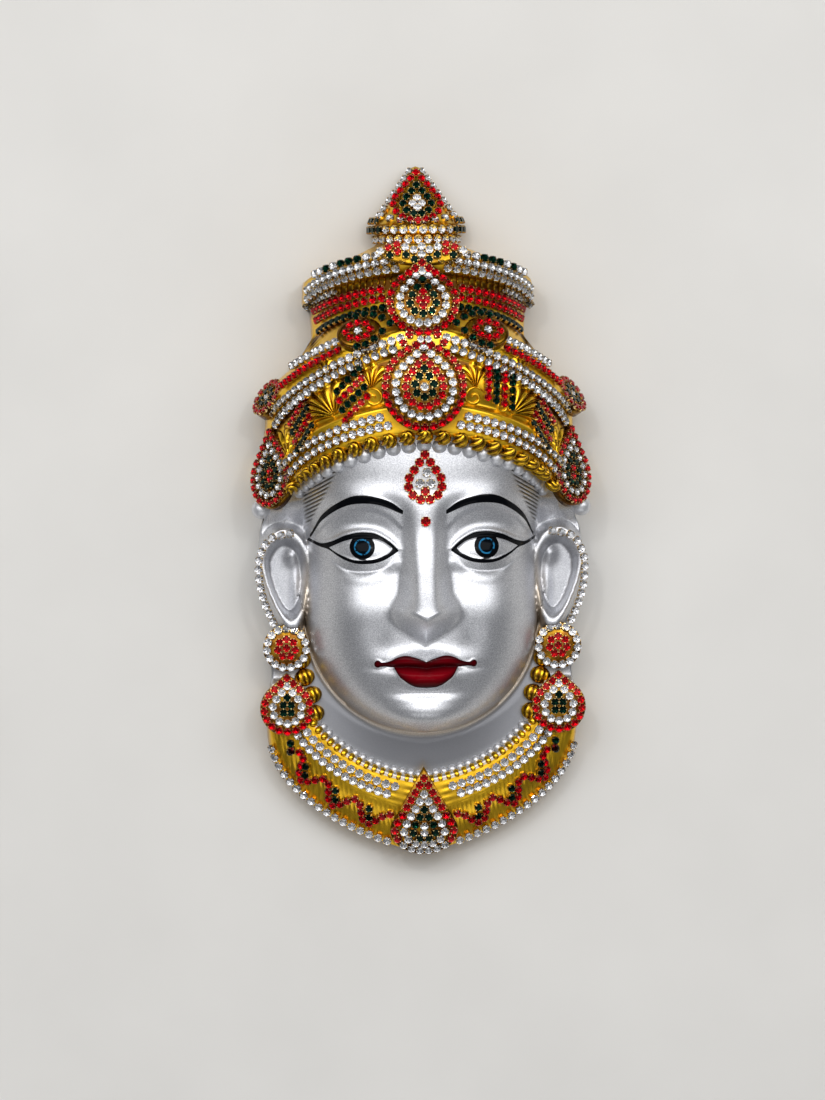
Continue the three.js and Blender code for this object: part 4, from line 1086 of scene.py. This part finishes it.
def patch_axes(middle, outwards):
    """A flat patch's middle, and its directions across, upward and outward."""
    up = unit(outwards)
    across = unit(np.array([1, 0, 0]) - up * up[0])
    return middle, across, np.cross(up, across), up


def patch_frame(x, y, facing):
    """A patch laid on the front, turned by a share to face forwards."""
    x, y = np.array([[x], [y]], float)
    return patch_axes(on_form(x, y)[0], front_normal(x, y, 3.0)[0] + [0, 0, facing])


def tilted_frame(x, y, z, across_lean, up_lean):
    """A patch that stands free, leaning by two slopes from facing forwards."""
    return patch_axes(np.array([x, y, z], float), np.array([across_lean, up_lean, 1.0]))


def patch_stones(at, layout, lift, scale):
    """Stones in the plane of a patch."""
    middle, across, upward, up = at
    s, t, colours = layout
    places = middle + s[:, None] * across + t[:, None] * upward + up * lift
    forwards = -t[:, None] * across + s[:, None] * upward + 1e-3 * upward
    return stones_at(places, np.broadcast_to(up, places.shape), forwards, colours, scale)


def patch_plate(at, wide, tall, point, lift, thick=3.0):
    """Gold plate under a patch's stones, with a rounded edge."""
    middle, across, upward, up = at
    s, t = drop_rings(wide, tall, point, [0.4, 0.8, 0.97, 1.0, 1.0], PLATE_SIDES)
    heights = lift + np.array([0, 0, -0.1, -0.45, -thick])[:, None, None]
    loops = middle + s[..., None] * across + t[..., None] * upward + up * heights
    return outward(closed_rings(loops, middle + up * lift, middle + up * (lift - thick)))


gold_skins, gold_groove_shades = [], []


def add_gold(skin, groove_shade=0.1):
    """Keeps a skin for the gold carving, with how deep each point lies in the painted shade of its
    grooves.
    """
    gold_skins.append(skin)
    gold_groove_shades.append(np.broadcast_to(groove_shade, len(skin[0])))


def pad_plates():
    """The gold plate of every pad."""
    for plate in [UPPER_DROP, LOWER_DROP, PENDANT, *STUDS.values(), *EAR_DROPS.values()]:
        add_gold(pad_plate(plate), PAD_GROOVE_SHADES)


# Clusters on plates at the crown's sides: place and how far they turn to face forwards; for the
# stones and then for the plate the half width, half height and point; and the stones' rings
CLUSTERS = {
    "side_teardrop": ((48.8, 11.2, 0.4), (8.7, 10.8, 1.6), (8.8, 11, 1.6),
                      [(0.89, RED), (0.62, CLEAR), (0.35, GREEN), (0.1, RED)]),
    "side_rosette": ((49.2, 36.8, 0.15), (6.6, 6.6, 1), (6.8, 6.8, 1),
                     [(0.87, RED), (0.43, GREEN), (0, CLEAR)]),
}
# The dark leaf round a lotus: distances towards the middle and up from its own middle
LOTUS_LEAF = [(-0.6, 5.6), (2.4, 5.9), (5.4, 5.3), (8.2, 3.7), (11, 1.2), (8.2, -1.4), (5.4, -3.8),
              (2.4, -5.4), (-0.6, -5.8)]
LOTUS = Sizes(x=21, y=58.4, z=48, lean_out=0.3, lean_up=0.5, ring=(4.2, 2.9, 1),
              plate=(7.6, 5.4, 1), lift=1.2, scale=0.96, thick=5.0)
CLUSTER = Sizes(pitch=2.85, lift=1.5, scale=0.9, plate_lift=1.4)
# Painted shade in the gold's brown on the plates under the clusters' stones
PLATE_SHADE = 0.8


def side_clusters():
    """Teardrops and rosettes that face sideways, and the lotus motifs over the arch."""
    leaf_in, leaf_up = np.array(LOTUS_LEAF).T
    for m, side in SIDES.items():
        for name, ((x, y, facing), drop, plate, rings) in CLUSTERS.items():
            at = patch_frame(m * x, y, facing)
            layout = drop_layout(*drop, rings, CLUSTER.pitch)
            stones = patch_stones(at, layout, CLUSTER.lift, CLUSTER.scale)
            strand_piece(f"{name}_{side}", stones)
            add_gold(patch_plate(at, *plate, CLUSTER.plate_lift), PLATE_SHADE)
        at = tilted_frame(m * LOTUS.x, LOTUS.y, LOTUS.z, m * LOTUS.lean_out, LOTUS.lean_up)
        ring = drop_layout(*LOTUS.ring, [(1, RED), (0, CLEAR)], 2.9)
        leaf = (-m * leaf_in, leaf_up, np.full(len(leaf_in), GREEN))
        both = [np.concatenate(pair) for pair in zip(ring, leaf)]
        stone_piece(f"lotus_{side}_stones", patch_stones(at, both, LOTUS.lift, LOTUS.scale),
                    f"lotus_stones_{side}")
        add_gold(patch_plate(at, *LOTUS.plate, LOTUS.lift - 0.1, LOTUS.thick), PLATE_SHADE)


# Patches of stone rows beside the lower medallion, on the left (-1) and on the right (1): start and
# end of the first row, and the step from row to row
STRIPE_ROWS = {
    ("inner", -1): ((-21.3, 46.8), (-28.5, 39.4), (0.85, -3.1)),
    ("inner", 1): ((21.8, 46.6), (21.4, 36.8), (2.7, -1.1)),
    ("outer", -1): ((-38.9, 37), (-43.6, 29), (0.7, -2.9)),
    ("outer", 1): ((38.9, 37), (43.6, 29), (-0.7, -2.9)),
}
STRIPE_COUNT = 4


def stripe_patches():
    """Rows of stones, green and red in turn."""
    for (place, m), (start, end, stride) in STRIPE_ROWS.items():
        skins = []
        for row in range(STRIPE_COUNT):
            x, y = (np.linspace(start[k], end[k], 60) + row * stride[k] for k in (0, 1))
            first_green = (row % 2 == 0) == (place == "inner" and m < 0)
            skins.append(chain_on_form(x, y, GREEN if first_green else RED, pitch=2.9, scale=0.92))
        stone_piece(f"stripes_{place}_{SIDES[m]}", joined(skins),
                    f"stripe_stones_{place}_{SIDES[m]}")


# The finial: a flared neck, a rim and a cone, half sunk in the back plane
FINIAL_AXIS = 5
FINIAL_PROFILE = [(84, 0.5), (84.2, 9), (86.5, 11.6), (88.4, 12.6), (90.4, 12.6), (91.2, 13.6),
                  (92.2, 15), (94, 15), (95, 14), (100, 10.4), (106.6, 6.4), (112, 2.6),
                  (113.9, 1.1)]


def finial_body():
    """Round profile about an axis near the back plane, flat where that cuts it."""
    y, radius = np.array(FINIAL_PROFILE).T
    turn = round_turns(PAD_SIDES)
    x = radius[:, None] * np.sin(turn)
    z = np.maximum(FINIAL_AXIS + radius[:, None] * np.cos(turn), 0)
    loops = beside(x, np.broadcast_to(y[:, None], x.shape), z)
    add_gold(outward(closed_rings(loops, (0, y[0], FINIAL_AXIS), (0, TOP, FINIAL_AXIS))), 0.3)


CONE = Sizes(foot=94, foot_radius=15, slope=0.735, lean=0.63)
# The drop on the cone: half width, half height and point, its rings and the height of its middle;
# then the clear rows up the cone's edges, from and to, how many, and how far round
CONE_DROP = Sizes(shape=(7.6, 5.6, 1.9), rings=[(1, RED), (0.6, GREEN), (0.2, CLEAR)], pitch=2.7,
                  y=101.2)
CONE_EDGE = Sizes(low=97.4, high=112.2, count=7, turn=1.28)


def cone_stones(radius, y, turn, lean, colours, scale=1.0, lift=0.2, facing=0.0):
    """Stones round the finial's axis, leaning towards its tip by an angle and turned forwards."""
    sine, cosine, zero = np.sin(turn), np.cos(turn), np.zeros_like(turn)
    outwards = beside(sine, zero, cosine)
    places = outwards * np.broadcast_to(radius, turn.shape)[:, None]
    places = places + beside(zero, zero + y, zero + FINIAL_AXIS)
    ups = unit(outwards * math.cos(lean) + [0, math.sin(lean), 0] + [0, 0, facing])
    return stones_at(places + ups * lift, ups, beside(cosine, zero, -sine), colours, scale)


def cone_radius(y):
    """The cone's radius at a height: it narrows by its slope, down to a blunt tip."""
    return np.maximum(CONE.foot_radius - (np.asarray(y, float) - CONE.foot) * CONE.slope, 0.8)


def finial_stones():
    """Stones on the cone and its rim: a drop in front and clear rows up both edges."""
    rim_turn = np.linspace(-1.55, 1.55, 16)
    upper_turn = np.array([-1.5, -1.27, -1.04, 1.04, 1.27, 1.5])
    rim = [cone_stones(15, 93.1, rim_turn, 0.0, np.where(np.abs(rim_turn) > 0.75, GREEN, CLEAR)),
           cone_stones(14.6, 95.8, upper_turn, 0.4, GREEN, 0.95)]
    stone_piece("finial_rim", joined(rim), "finial_rim_chain")
    neck = cone_stones(13.4, 90, np.linspace(-1.4, 1.4, 13), -0.1, CLEAR)
    stone_piece("finial_neck", neck, "finial_neck_chain")
    s, t, colours = drop_layout(*CONE_DROP.shape, CONE_DROP.rings, CONE_DROP.pitch)
    y = CONE_DROP.y + t
    turn = np.arcsin(np.clip(s / (cone_radius(y) + 0.6), -0.95, 0.95))
    skins = [cone_stones(cone_radius(y) + 0.3, y, turn, CONE.lean, colours, 0.93, 0.4, 0.7)]
    rows = np.linspace(CONE_EDGE.low, CONE_EDGE.high, CONE_EDGE.count)
    for m in SIDES:
        turns = np.full(CONE_EDGE.count, m * CONE_EDGE.turn)
        skins.append(cone_stones(cone_radius(rows), rows, turns, CONE.lean, CLEAR, 0.92, 0.3, 0.5))
    low_turn = np.linspace(-0.92, 0.92, 8)
    skins.append(cone_stones(cone_radius(95.2), 95.2 + 2.4 * low_turn ** 2, low_turn, CONE.lean,
                             CLEAR, 1.0, 0.4))
    stone_piece("finial_drop", joined(skins), "finial_jewel")


# Stones before the finial's neck, for one side: across, up and colour
ROOF_STONES = [
    (0, 0.6, CLEAR), (0, 3.4, CLEAR), (2.6, 2.2, CLEAR), (2.4, -1.2, GREEN), (5.2, 0.4, GREEN),
    (5.4, 3.2, CLEAR), (8, 1.6, RED), (8.2, 4.2, RED), (10.6, 0.2, GREEN), (11, 3.1, RED),
    (13.8, 1.8, CLEAR)]
ROOF = Sizes(y=83.4, z=44.1, lean=0.35, lift=0.6, scale=0.93, plate=(12.8, 3.8, 1),
             plate_lift=0.5, plate_rise=1.1)


def roof_flower():
    """A cluster in front of the finial's neck, the same on both sides."""
    middle, *axes = at = tilted_frame(0, ROOF.y, ROOF.z, 0, ROOF.lean)
    stones = np.array([(m * s, t, c) for s, t, c in ROOF_STONES for m in SIDES if s > 0 or m > 0])
    layout = (stones[:, 0], stones[:, 1], stones[:, 2].astype(int))
    stone_piece("roof_rosette", patch_stones(at, layout, ROOF.lift, ROOF.scale),
                "roof_flower")
    raised = (middle + ROOF.plate_rise * axes[1], *axes)
    add_gold(patch_plate(raised, *ROOF.plate, ROOF.plate_lift), 0.6)


# Stones inside the forehead's drop: across, up and colour
BINDI_INSIDE = [(0.7, 3.8, CLEAR), (-1.7, 0.1, CLEAR), (1.9, 0.1, CLEAR), (0, -2.6, RED)]
BINDI = Sizes(x=0.2, y=8.4, drop=(5.6, 5.5, 1.75), pitch=3.2, lift=0.05, scale=1.07)
JEWEL = Sizes(x=0.2, y=-4.1, scale=1.15)


def forehead_marks():
    """A drop of red stones with clear ones inside it, and a single red stone below it."""
    ring = drop_layout(*BINDI.drop, [(1, RED)], BINDI.pitch)
    s, t, colours = (np.concatenate(pair) for pair in zip(ring, np.array(BINDI_INSIDE).T))
    forwards = beside(-t, s + 1e-3, np.zeros_like(s))
    bindi = stones_on_form(BINDI.x + s, BINDI.y + t, colours, BINDI.lift, BINDI.scale, 3.0,
                           forwards)
    stone_piece("bindi", bindi, "bindi_stones")
    jewel = stones_on_form([JEWEL.x], [JEWEL.y], RED, 0, JEWEL.scale)
    stone_piece("forehead_jewel", jewel, "forehead_stone")


EAR_ROUTE = [(43.4, -7.6), (50.2, -9.4), (53.6, -15.6), (53.8, -22.4), (52.4, -29.6), (49.4, -37)]
EAR_CHAIN = Sizes(pitch=2.95, height=18.3, lean=0.35, scale=0.97)


def ear_chains():
    """Chain round the ear's outer rim, on a smooth curve through a few listed places."""
    knots = np.arange(len(EAR_ROUTE))
    at = np.linspace(0, len(EAR_ROUTE) - 1, 200)
    x, y = (curve(list(zip(knots, values)), at) for values in np.array(EAR_ROUTE).T)
    walked = walked_flat(x, y)
    stops = np.linspace(0, walked[-1], int(round(walked[-1] / EAR_CHAIN.pitch)) + 1)
    x, y = np.interp(stops, walked, x), np.interp(stops, walked, y)
    for m, side in SIDES.items():
        places = beside(m * x, y, np.full_like(x, EAR_CHAIN.height))
        ups = np.broadcast_to([m * EAR_CHAIN.lean, 0, 1], places.shape)
        strand_piece(f"ear_chain_{side}", stones_at(places, ups, np.gradient(places, axis=0), CLEAR,
                                                    EAR_CHAIN.scale))


ZIGZAG = Sizes(away=6.1, swing=2.9, period=12.6, start=14.4, end=49.6)


def zigzags():
    """Red stones that swing about the middle of the necklace's band, with green pairs between."""
    x, middle = off_arc(NECKLACE_EDGE, ZIGZAG.away, ZIGZAG.start, ZIGZAG.end, 400)
    slope = np.gradient(middle, x)
    walked = walked_flat(x, middle)
    swing = ZIGZAG.swing * np.cos(walked * 2 * np.pi / ZIGZAG.period)
    zig_x, zig_y = x - swing * slope / np.hypot(1, slope), middle + swing / np.hypot(1, slope)
    at = [int(np.argmin(np.abs(walked - (0.5 + k) * ZIGZAG.period))) for k in range(4)]
    for m, side in SIDES.items():
        skins = [chain_on_form(m * zig_x, zig_y, RED, pitch=2.85, scale=0.95)]
        skins += [stones_on_form([m * x[i]], [middle[i] + off], GREEN, CHAIN_LIFT, 0.9)
                  for i in at for off in (0.2, 3.0)]
        stone_piece(f"zigzag_{side}_stones", joined(skins), f"zigzag_chain_{side}")


# Carving of the casting: leaf beads, lobes, fans, scrolls and ribs

BEAD_RISE = 1.2
# Painted shade on a bead: how deep in the gold's brown its ribs are, and how much deeper its
# grooves
BEAD_RIB_SHADE = 0.1
BEAD_GROOVE_SHADE = 0.8
# A bead's shape: half width, half length, half height, sides and rings; then how many ribs it has,
# their slant and their depth
LEAF_BEAD = (2.95, 3.1, 2.3, 40, 17, 5, 1.3, 0.3)
NECK_BEAD = (3.5, 2.95, 2.8, 45, 15, 9, 0.0, 0.16)
SCALLOP = (1.35, 1.7, 1.3, 12, 8)
LOBE = (2.5, 2.6, 2.0, 20, 11)
SMALL_LOBE = (1.35, 1.5, 1.1, 10, 7)
EAR_BALL = (3.2, 3.2, 3.2, 28, 17)
EAR_BALL_PLACE = Sizes(x=53.2, y=0.6, z=19.4)
# How far the rows inside the necklace reach across, and their pitch
NECKLACE_ROW = (37.5, 2.8)
LEAF_THICK = 1.4
RIB_SIDES = 8


def ribbed_bead(width, length, height, sides, rings, ribs=0, slant=0.0, depth=0.0):
    """An egg shape whose skin waves with slanted ribs, and how deep in their grooves each point is,
    for painted shade.
    """
    up = np.linspace(0.12, np.pi - 0.12, rings)[:, None]
    turn = round_turns(sides)
    phase = np.cos(ribs * (turn + slant * np.cos(up)))
    wave = 1 + depth * (phase - 1) / 2
    loops = beside(width * np.sin(up) * np.cos(turn) * wave,
                   length * np.cos(up) * np.ones_like(turn),
                   height * np.sin(up) * np.sin(turn) * wave)
    skin = outward(closed_rings(loops, (0, length, 0), (0, -length, 0)))
    return skin, np.append((1 - phase.reshape(-1)) / 2, [0.5, 0.5])


def beads_on_line(bead, line, away, reach, pitch, lift):
    """Copies of a bead along an arc on both sides of the middle, upright to it."""
    x, y = on_surface(*off_arc(line, away, -reach, reach, 600), pitch)
    ups = unit(smoothed(front_normal(x, y + BEAD_RISE)))
    places = beside(x, y, form(x, y + BEAD_RISE)) + ups * lift
    forward = unit(np.gradient(places, axis=0))
    upward = unit(np.cross(ups, forward))
    axes = np.stack([forward, upward, np.cross(forward, upward)], 1)
    return repeated(bead, places, axes)


def tapered_rib(x, y, width, height):
    """A ridge along a route on the casting, round in section and fading to its ends."""
    places, ups = on_form(x, y), front_normal(x, y)
    across = unit(np.cross(unit(np.gradient(places, axis=0)), ups))
    taper = (np.sin(np.linspace(0.25, np.pi - 0.3, len(x))) ** 0.7)[:, None, None]
    turn = round_turns(RIB_SIDES)[None, :, None]
    loops = (places[:, None] + across[:, None] * (np.cos(turn) * width) * taper
             + ups[:, None] * (np.sin(turn) * height) * taper)
    return outward(closed_rings(loops, places[0], places[-1]))


def slab(top, ups, thick):
    """Closed skin of a grid of points and the same grid sunk along their normals."""
    rows, columns = top.shape[:2]
    points = np.concatenate([top.reshape(-1, 3), (top - ups * thick).reshape(-1, 3)])
    count = rows * columns
    edge = border(rows, columns)
    after = np.roll(edge, -1)
    sides = beside(edge, count + edge, count + after, after)
    faces = grid_faces(rows, columns)
    return outward((points, [faces, faces[:, ::-1] + count, sides], [0, 0, 0]))


def acanthus(x, y, aim, length, spread, ribs, curl, m):
    """Leaf fan and its grooves: rays from one foot, each a rounded rib, turning outwards as they
    go, with a scalloped end. Ribs are the absolute value of a cosine across the fan."""
    across = np.linspace(-0.5, 0.5, ribs * 8 + 1)
    along = np.linspace(0.06, 1, 14)[:, None]
    rib = np.abs(np.cos(np.pi * ribs * across))
    turn = aim + across * (spread + curl * along ** 2)
    reach = length * along * (1 - 0.7 * across ** 2) * (0.93 + 0.07 * rib)
    px, py = x + m * reach * np.sin(turn), y + reach * np.cos(turn)
    rise = 0.15 + 1.4 * rib ** 0.8 * np.sin(np.pi * np.minimum(along * 0.9 + 0.08, 1)) ** 0.6
    rise = rise * step(0.5, 0.46, np.abs(across)) - 0.3
    top = on_form(px, py) + front_normal(px, py) * rise[..., None]
    # Painted shade in the fan's grooves between its ribs
    groove_shade = np.broadcast_to(1 - rib, px.shape).reshape(-1)
    return slab(top, front_normal(top[..., 0], top[..., 1]), LEAF_THICK), np.append(groove_shade, groove_shade)


def scroll(x, y, size, turns, start, m):
    """A spiral ridge: its radius shrinks evenly as it turns, down to 0.15 of its size."""
    t = np.linspace(0, 1, 30)
    angle = start + turns * 2 * np.pi * t
    radius = size * (1 - 0.85 * t)
    return tapered_rib(x + m * radius * np.cos(angle), y + radius * np.sin(angle), 0.62, 0.9)


# Leaf fans between the rows of stones: foot across and up, aim, length, spread, ribs and curl
FANS = [
    (28.8, 31.0, 0.62, 13, 2.3, 9, 0.7), (17.2, 39.4, -0.1, 9.4, 1.1, 5, 0.9),
    (43.6, 16.6, 0.1, 11, 0.9, 5, 0.5), (36.5, 25.6, 1.0, 9.5, 1.2, 6, 0.6),
    (30.5, 44.5, 0.4, 6, 1.4, 5, 0.6),
]
# Scrolls: middle across and up, size, turns and where they start
SCROLLS = [(16.6, 36.8, 3.6, 1.4, 0.6), (34.8, 41.5, 2.4, 1.2, 3.4), (26.4, 33.4, 2.0, 1.2, 2.0)]
# Beads down both sides of the neck plate: across and up
BEAD_COLUMN = [(40.4, -49.8), (39.2, -55.4), (36.9, -61.3), (36.1, -67.5)]
COLUMN_BEAD = Sizes(z=13.2, lean=0.3)
# Ribs of the drum: how many, from and to across, and from and to below the rim's edge
DRUM_RIBS = Sizes(count=14, start=10, end=36.5, low=9.4, high=5.4)


def drum_ribs(m):
    """Upright ribs round the drum on one side."""
    shares = np.arange(DRUM_RIBS.count) / (DRUM_RIBS.count - 1)
    down = np.linspace(DRUM_RIBS.low, DRUM_RIBS.high, 8)
    for across in m * mix(DRUM_RIBS.start, DRUM_RIBS.end, shares):
        x = np.full(8, across)
        add_gold(tapered_rib(x, arc_y(RIM_TOP, x) - down, 0.5, 0.9), 0.5)


def bead_column(m):
    """Ribbed beads one below another on one side, leaning outwards."""
    bead, grooves = ribbed_bead(*NECK_BEAD)
    places = np.array([(m * x, y, COLUMN_BEAD.z) for x, y in BEAD_COLUMN])
    cosine, sine = math.cos(-m * COLUMN_BEAD.lean), math.sin(-m * COLUMN_BEAD.lean)
    axes = [[cosine, sine, 0], [-sine, cosine, 0], [0, 0, 1]]
    count = len(places)
    add_gold(repeated(bead, places, np.broadcast_to(axes, (count, 3, 3))),
             np.tile(BEAD_RIB_SHADE + BEAD_GROOVE_SHADE * grooves, count))


def carving():
    """Gold relief between the rows of stones."""
    leaf, grooves = ribbed_bead(*LEAF_BEAD)
    leaves = beads_on_line(leaf, CROWN_EDGE, -0.2, 43.5, 6.0, 0.1)
    add_gold(leaves, np.tile(BEAD_RIB_SHADE + BEAD_GROOVE_SHADE * grooves, len(leaves[0]) // len(grooves)))
    for m in SIDES:
        for x, *shape in FANS:
            add_gold(*acanthus(m * x, *shape, m))
        for x, *shape in SCROLLS:
            add_gold(scroll(m * x, *shape, m))
        drum_ribs(m)
        bead_column(m)
    scallop, _ = ribbed_bead(*SCALLOP)
    add_gold(beads_on_line(scallop, NECKLACE_INNER, -0.5, *NECKLACE_ROW, 0.2), 0.15)
    make_piece("gold_carving", joined(gold_skins), [GILT_PAINT],
               fields={"groove_shade": np.concatenate(gold_groove_shades)})


def silver_trim():
    """Lobed fringe under the leaf beads and inside the necklace, and a bead over each ear."""
    lobe, small, ball = (ribbed_bead(*shape)[0] for shape in (LOBE, SMALL_LOBE, EAR_BALL))
    at = EAR_BALL_PLACE
    places = np.array([(m * at.x, at.y, at.z) for m in SIDES])
    skins = [beads_on_line(lobe, CROWN_EDGE, -3.1, 43, 5.1, 0.1),
             beads_on_line(small, NECKLACE_INNER, 1.4, *NECKLACE_ROW, 0.2),
             repeated(ball, places, np.broadcast_to(np.eye(3), (2, 3, 3)))]
    make_piece("silver_trim", joined(skins), [SILVER_PAINT])


# Stage: a pale floor, soft lights and the camera

FLOOR_REACH = 3.0
LIGHT_TARGET = (0, 0, 0.02)
# Soft lights: place and size in metres, and watts
LIGHTS = [
    ("overhead", (0, 0.62, 1.25), (3.6, 1.0), 29),
    ("front_fill", (0, -0.15, 1.7), (1.5, 1.0), 3.2),
    ("low_fill", (0, -1.0, 0.8), (1.3, 0.5), 2.2),
    ("glint_left", (-0.32, 0.5, 1.2), (0.05, 0.05), 1.3),
    ("glint_right", (0.28, 0.42, 1.25), (0.05, 0.05), 1.1),
]


def floor():
    """A flat square of matt pale card, slightly mottled, far wider than the picture."""
    mesh = bpy.data.meshes.new("floor")
    r = FLOOR_REACH
    mesh.from_pydata([(-r, -r, 0), (r, -r, 0), (r, r, 0), (-r, r, 0)], [], [(0, 1, 2, 3)])
    mesh.materials.append(mottled("pale_card", (srgb("#CDCBC7"), srgb("#D9D7D3")), 60, 3,
                                  {"Roughness": 0.8}))
    made = add_object("floor", mesh)


def soft_light(name, place, size, power):
    """A rectangle of light at a place, turned towards the mask and upright along +Y."""
    data = bpy.data.lights.new(name, "AREA")
    data.shape = "RECTANGLE"
    data.size, data.size_y = size
    data.energy = power
    light = add_object(name, data)
    light.location = place
    towards = Vector(LIGHT_TARGET) - light.location
    light.rotation_euler = towards.to_track_quat("-Z", "Y").to_euler()


def studio():
    """A dim even sky and the soft lights."""
    world = bpy.data.worlds.new("studio")
    world.use_nodes = True
    background = world.node_tree.nodes["Background"]
    background.inputs["Color"].default_value = srgb("#C9CCD2")
    background.inputs["Strength"].default_value = 0.2
    bpy.context.scene.world = world
    bpy.context.scene.view_settings.view_transform = "Standard"
    for light in LIGHTS:
        soft_light(*light)


# The photo's view: 0.33275 mm to a pixel of its 1100 rows at the mask, seen from 2.5 degrees left
PIXEL = 0.33275
IMAGE_HEIGHT = 1100
VIEW_TARGET = (-2.6, -10.5, 10)
VIEW_YAW = math.radians(2.5)
VIEW_ROLL = math.radians(-0.65)
VIEW_DISTANCE = 6000
SENSOR = 36


def camera():
    """A long lens far off, so that a pixel is the photo's everywhere on the mask."""
    data = bpy.data.cameras.new("camera")
    data.sensor_fit = "VERTICAL"
    data.sensor_height = SENSOR
    data.lens = SENSOR * VIEW_DISTANCE / (IMAGE_HEIGHT * PIXEL)
    data.clip_end = 10
    made = add_object("camera", data)
    back = Vector((-math.sin(VIEW_YAW), 0, math.cos(VIEW_YAW))) * VIEW_DISTANCE * MM
    made.location = Vector(VIEW_TARGET) * MM + back
    made.rotation_euler = (0, -VIEW_YAW, VIEW_ROLL)
    bpy.context.scene.camera = made


# The pieces in order: the gold carving comes after all that adds to it
for build in (casting, runs_of_chain, front_drops, pad_plates, side_clusters, stripe_patches,
              finial_body, finial_stones, roof_flower, forehead_marks, ear_chains, zigzags, carving,
              silver_trim, floor, studio, camera):
    build()
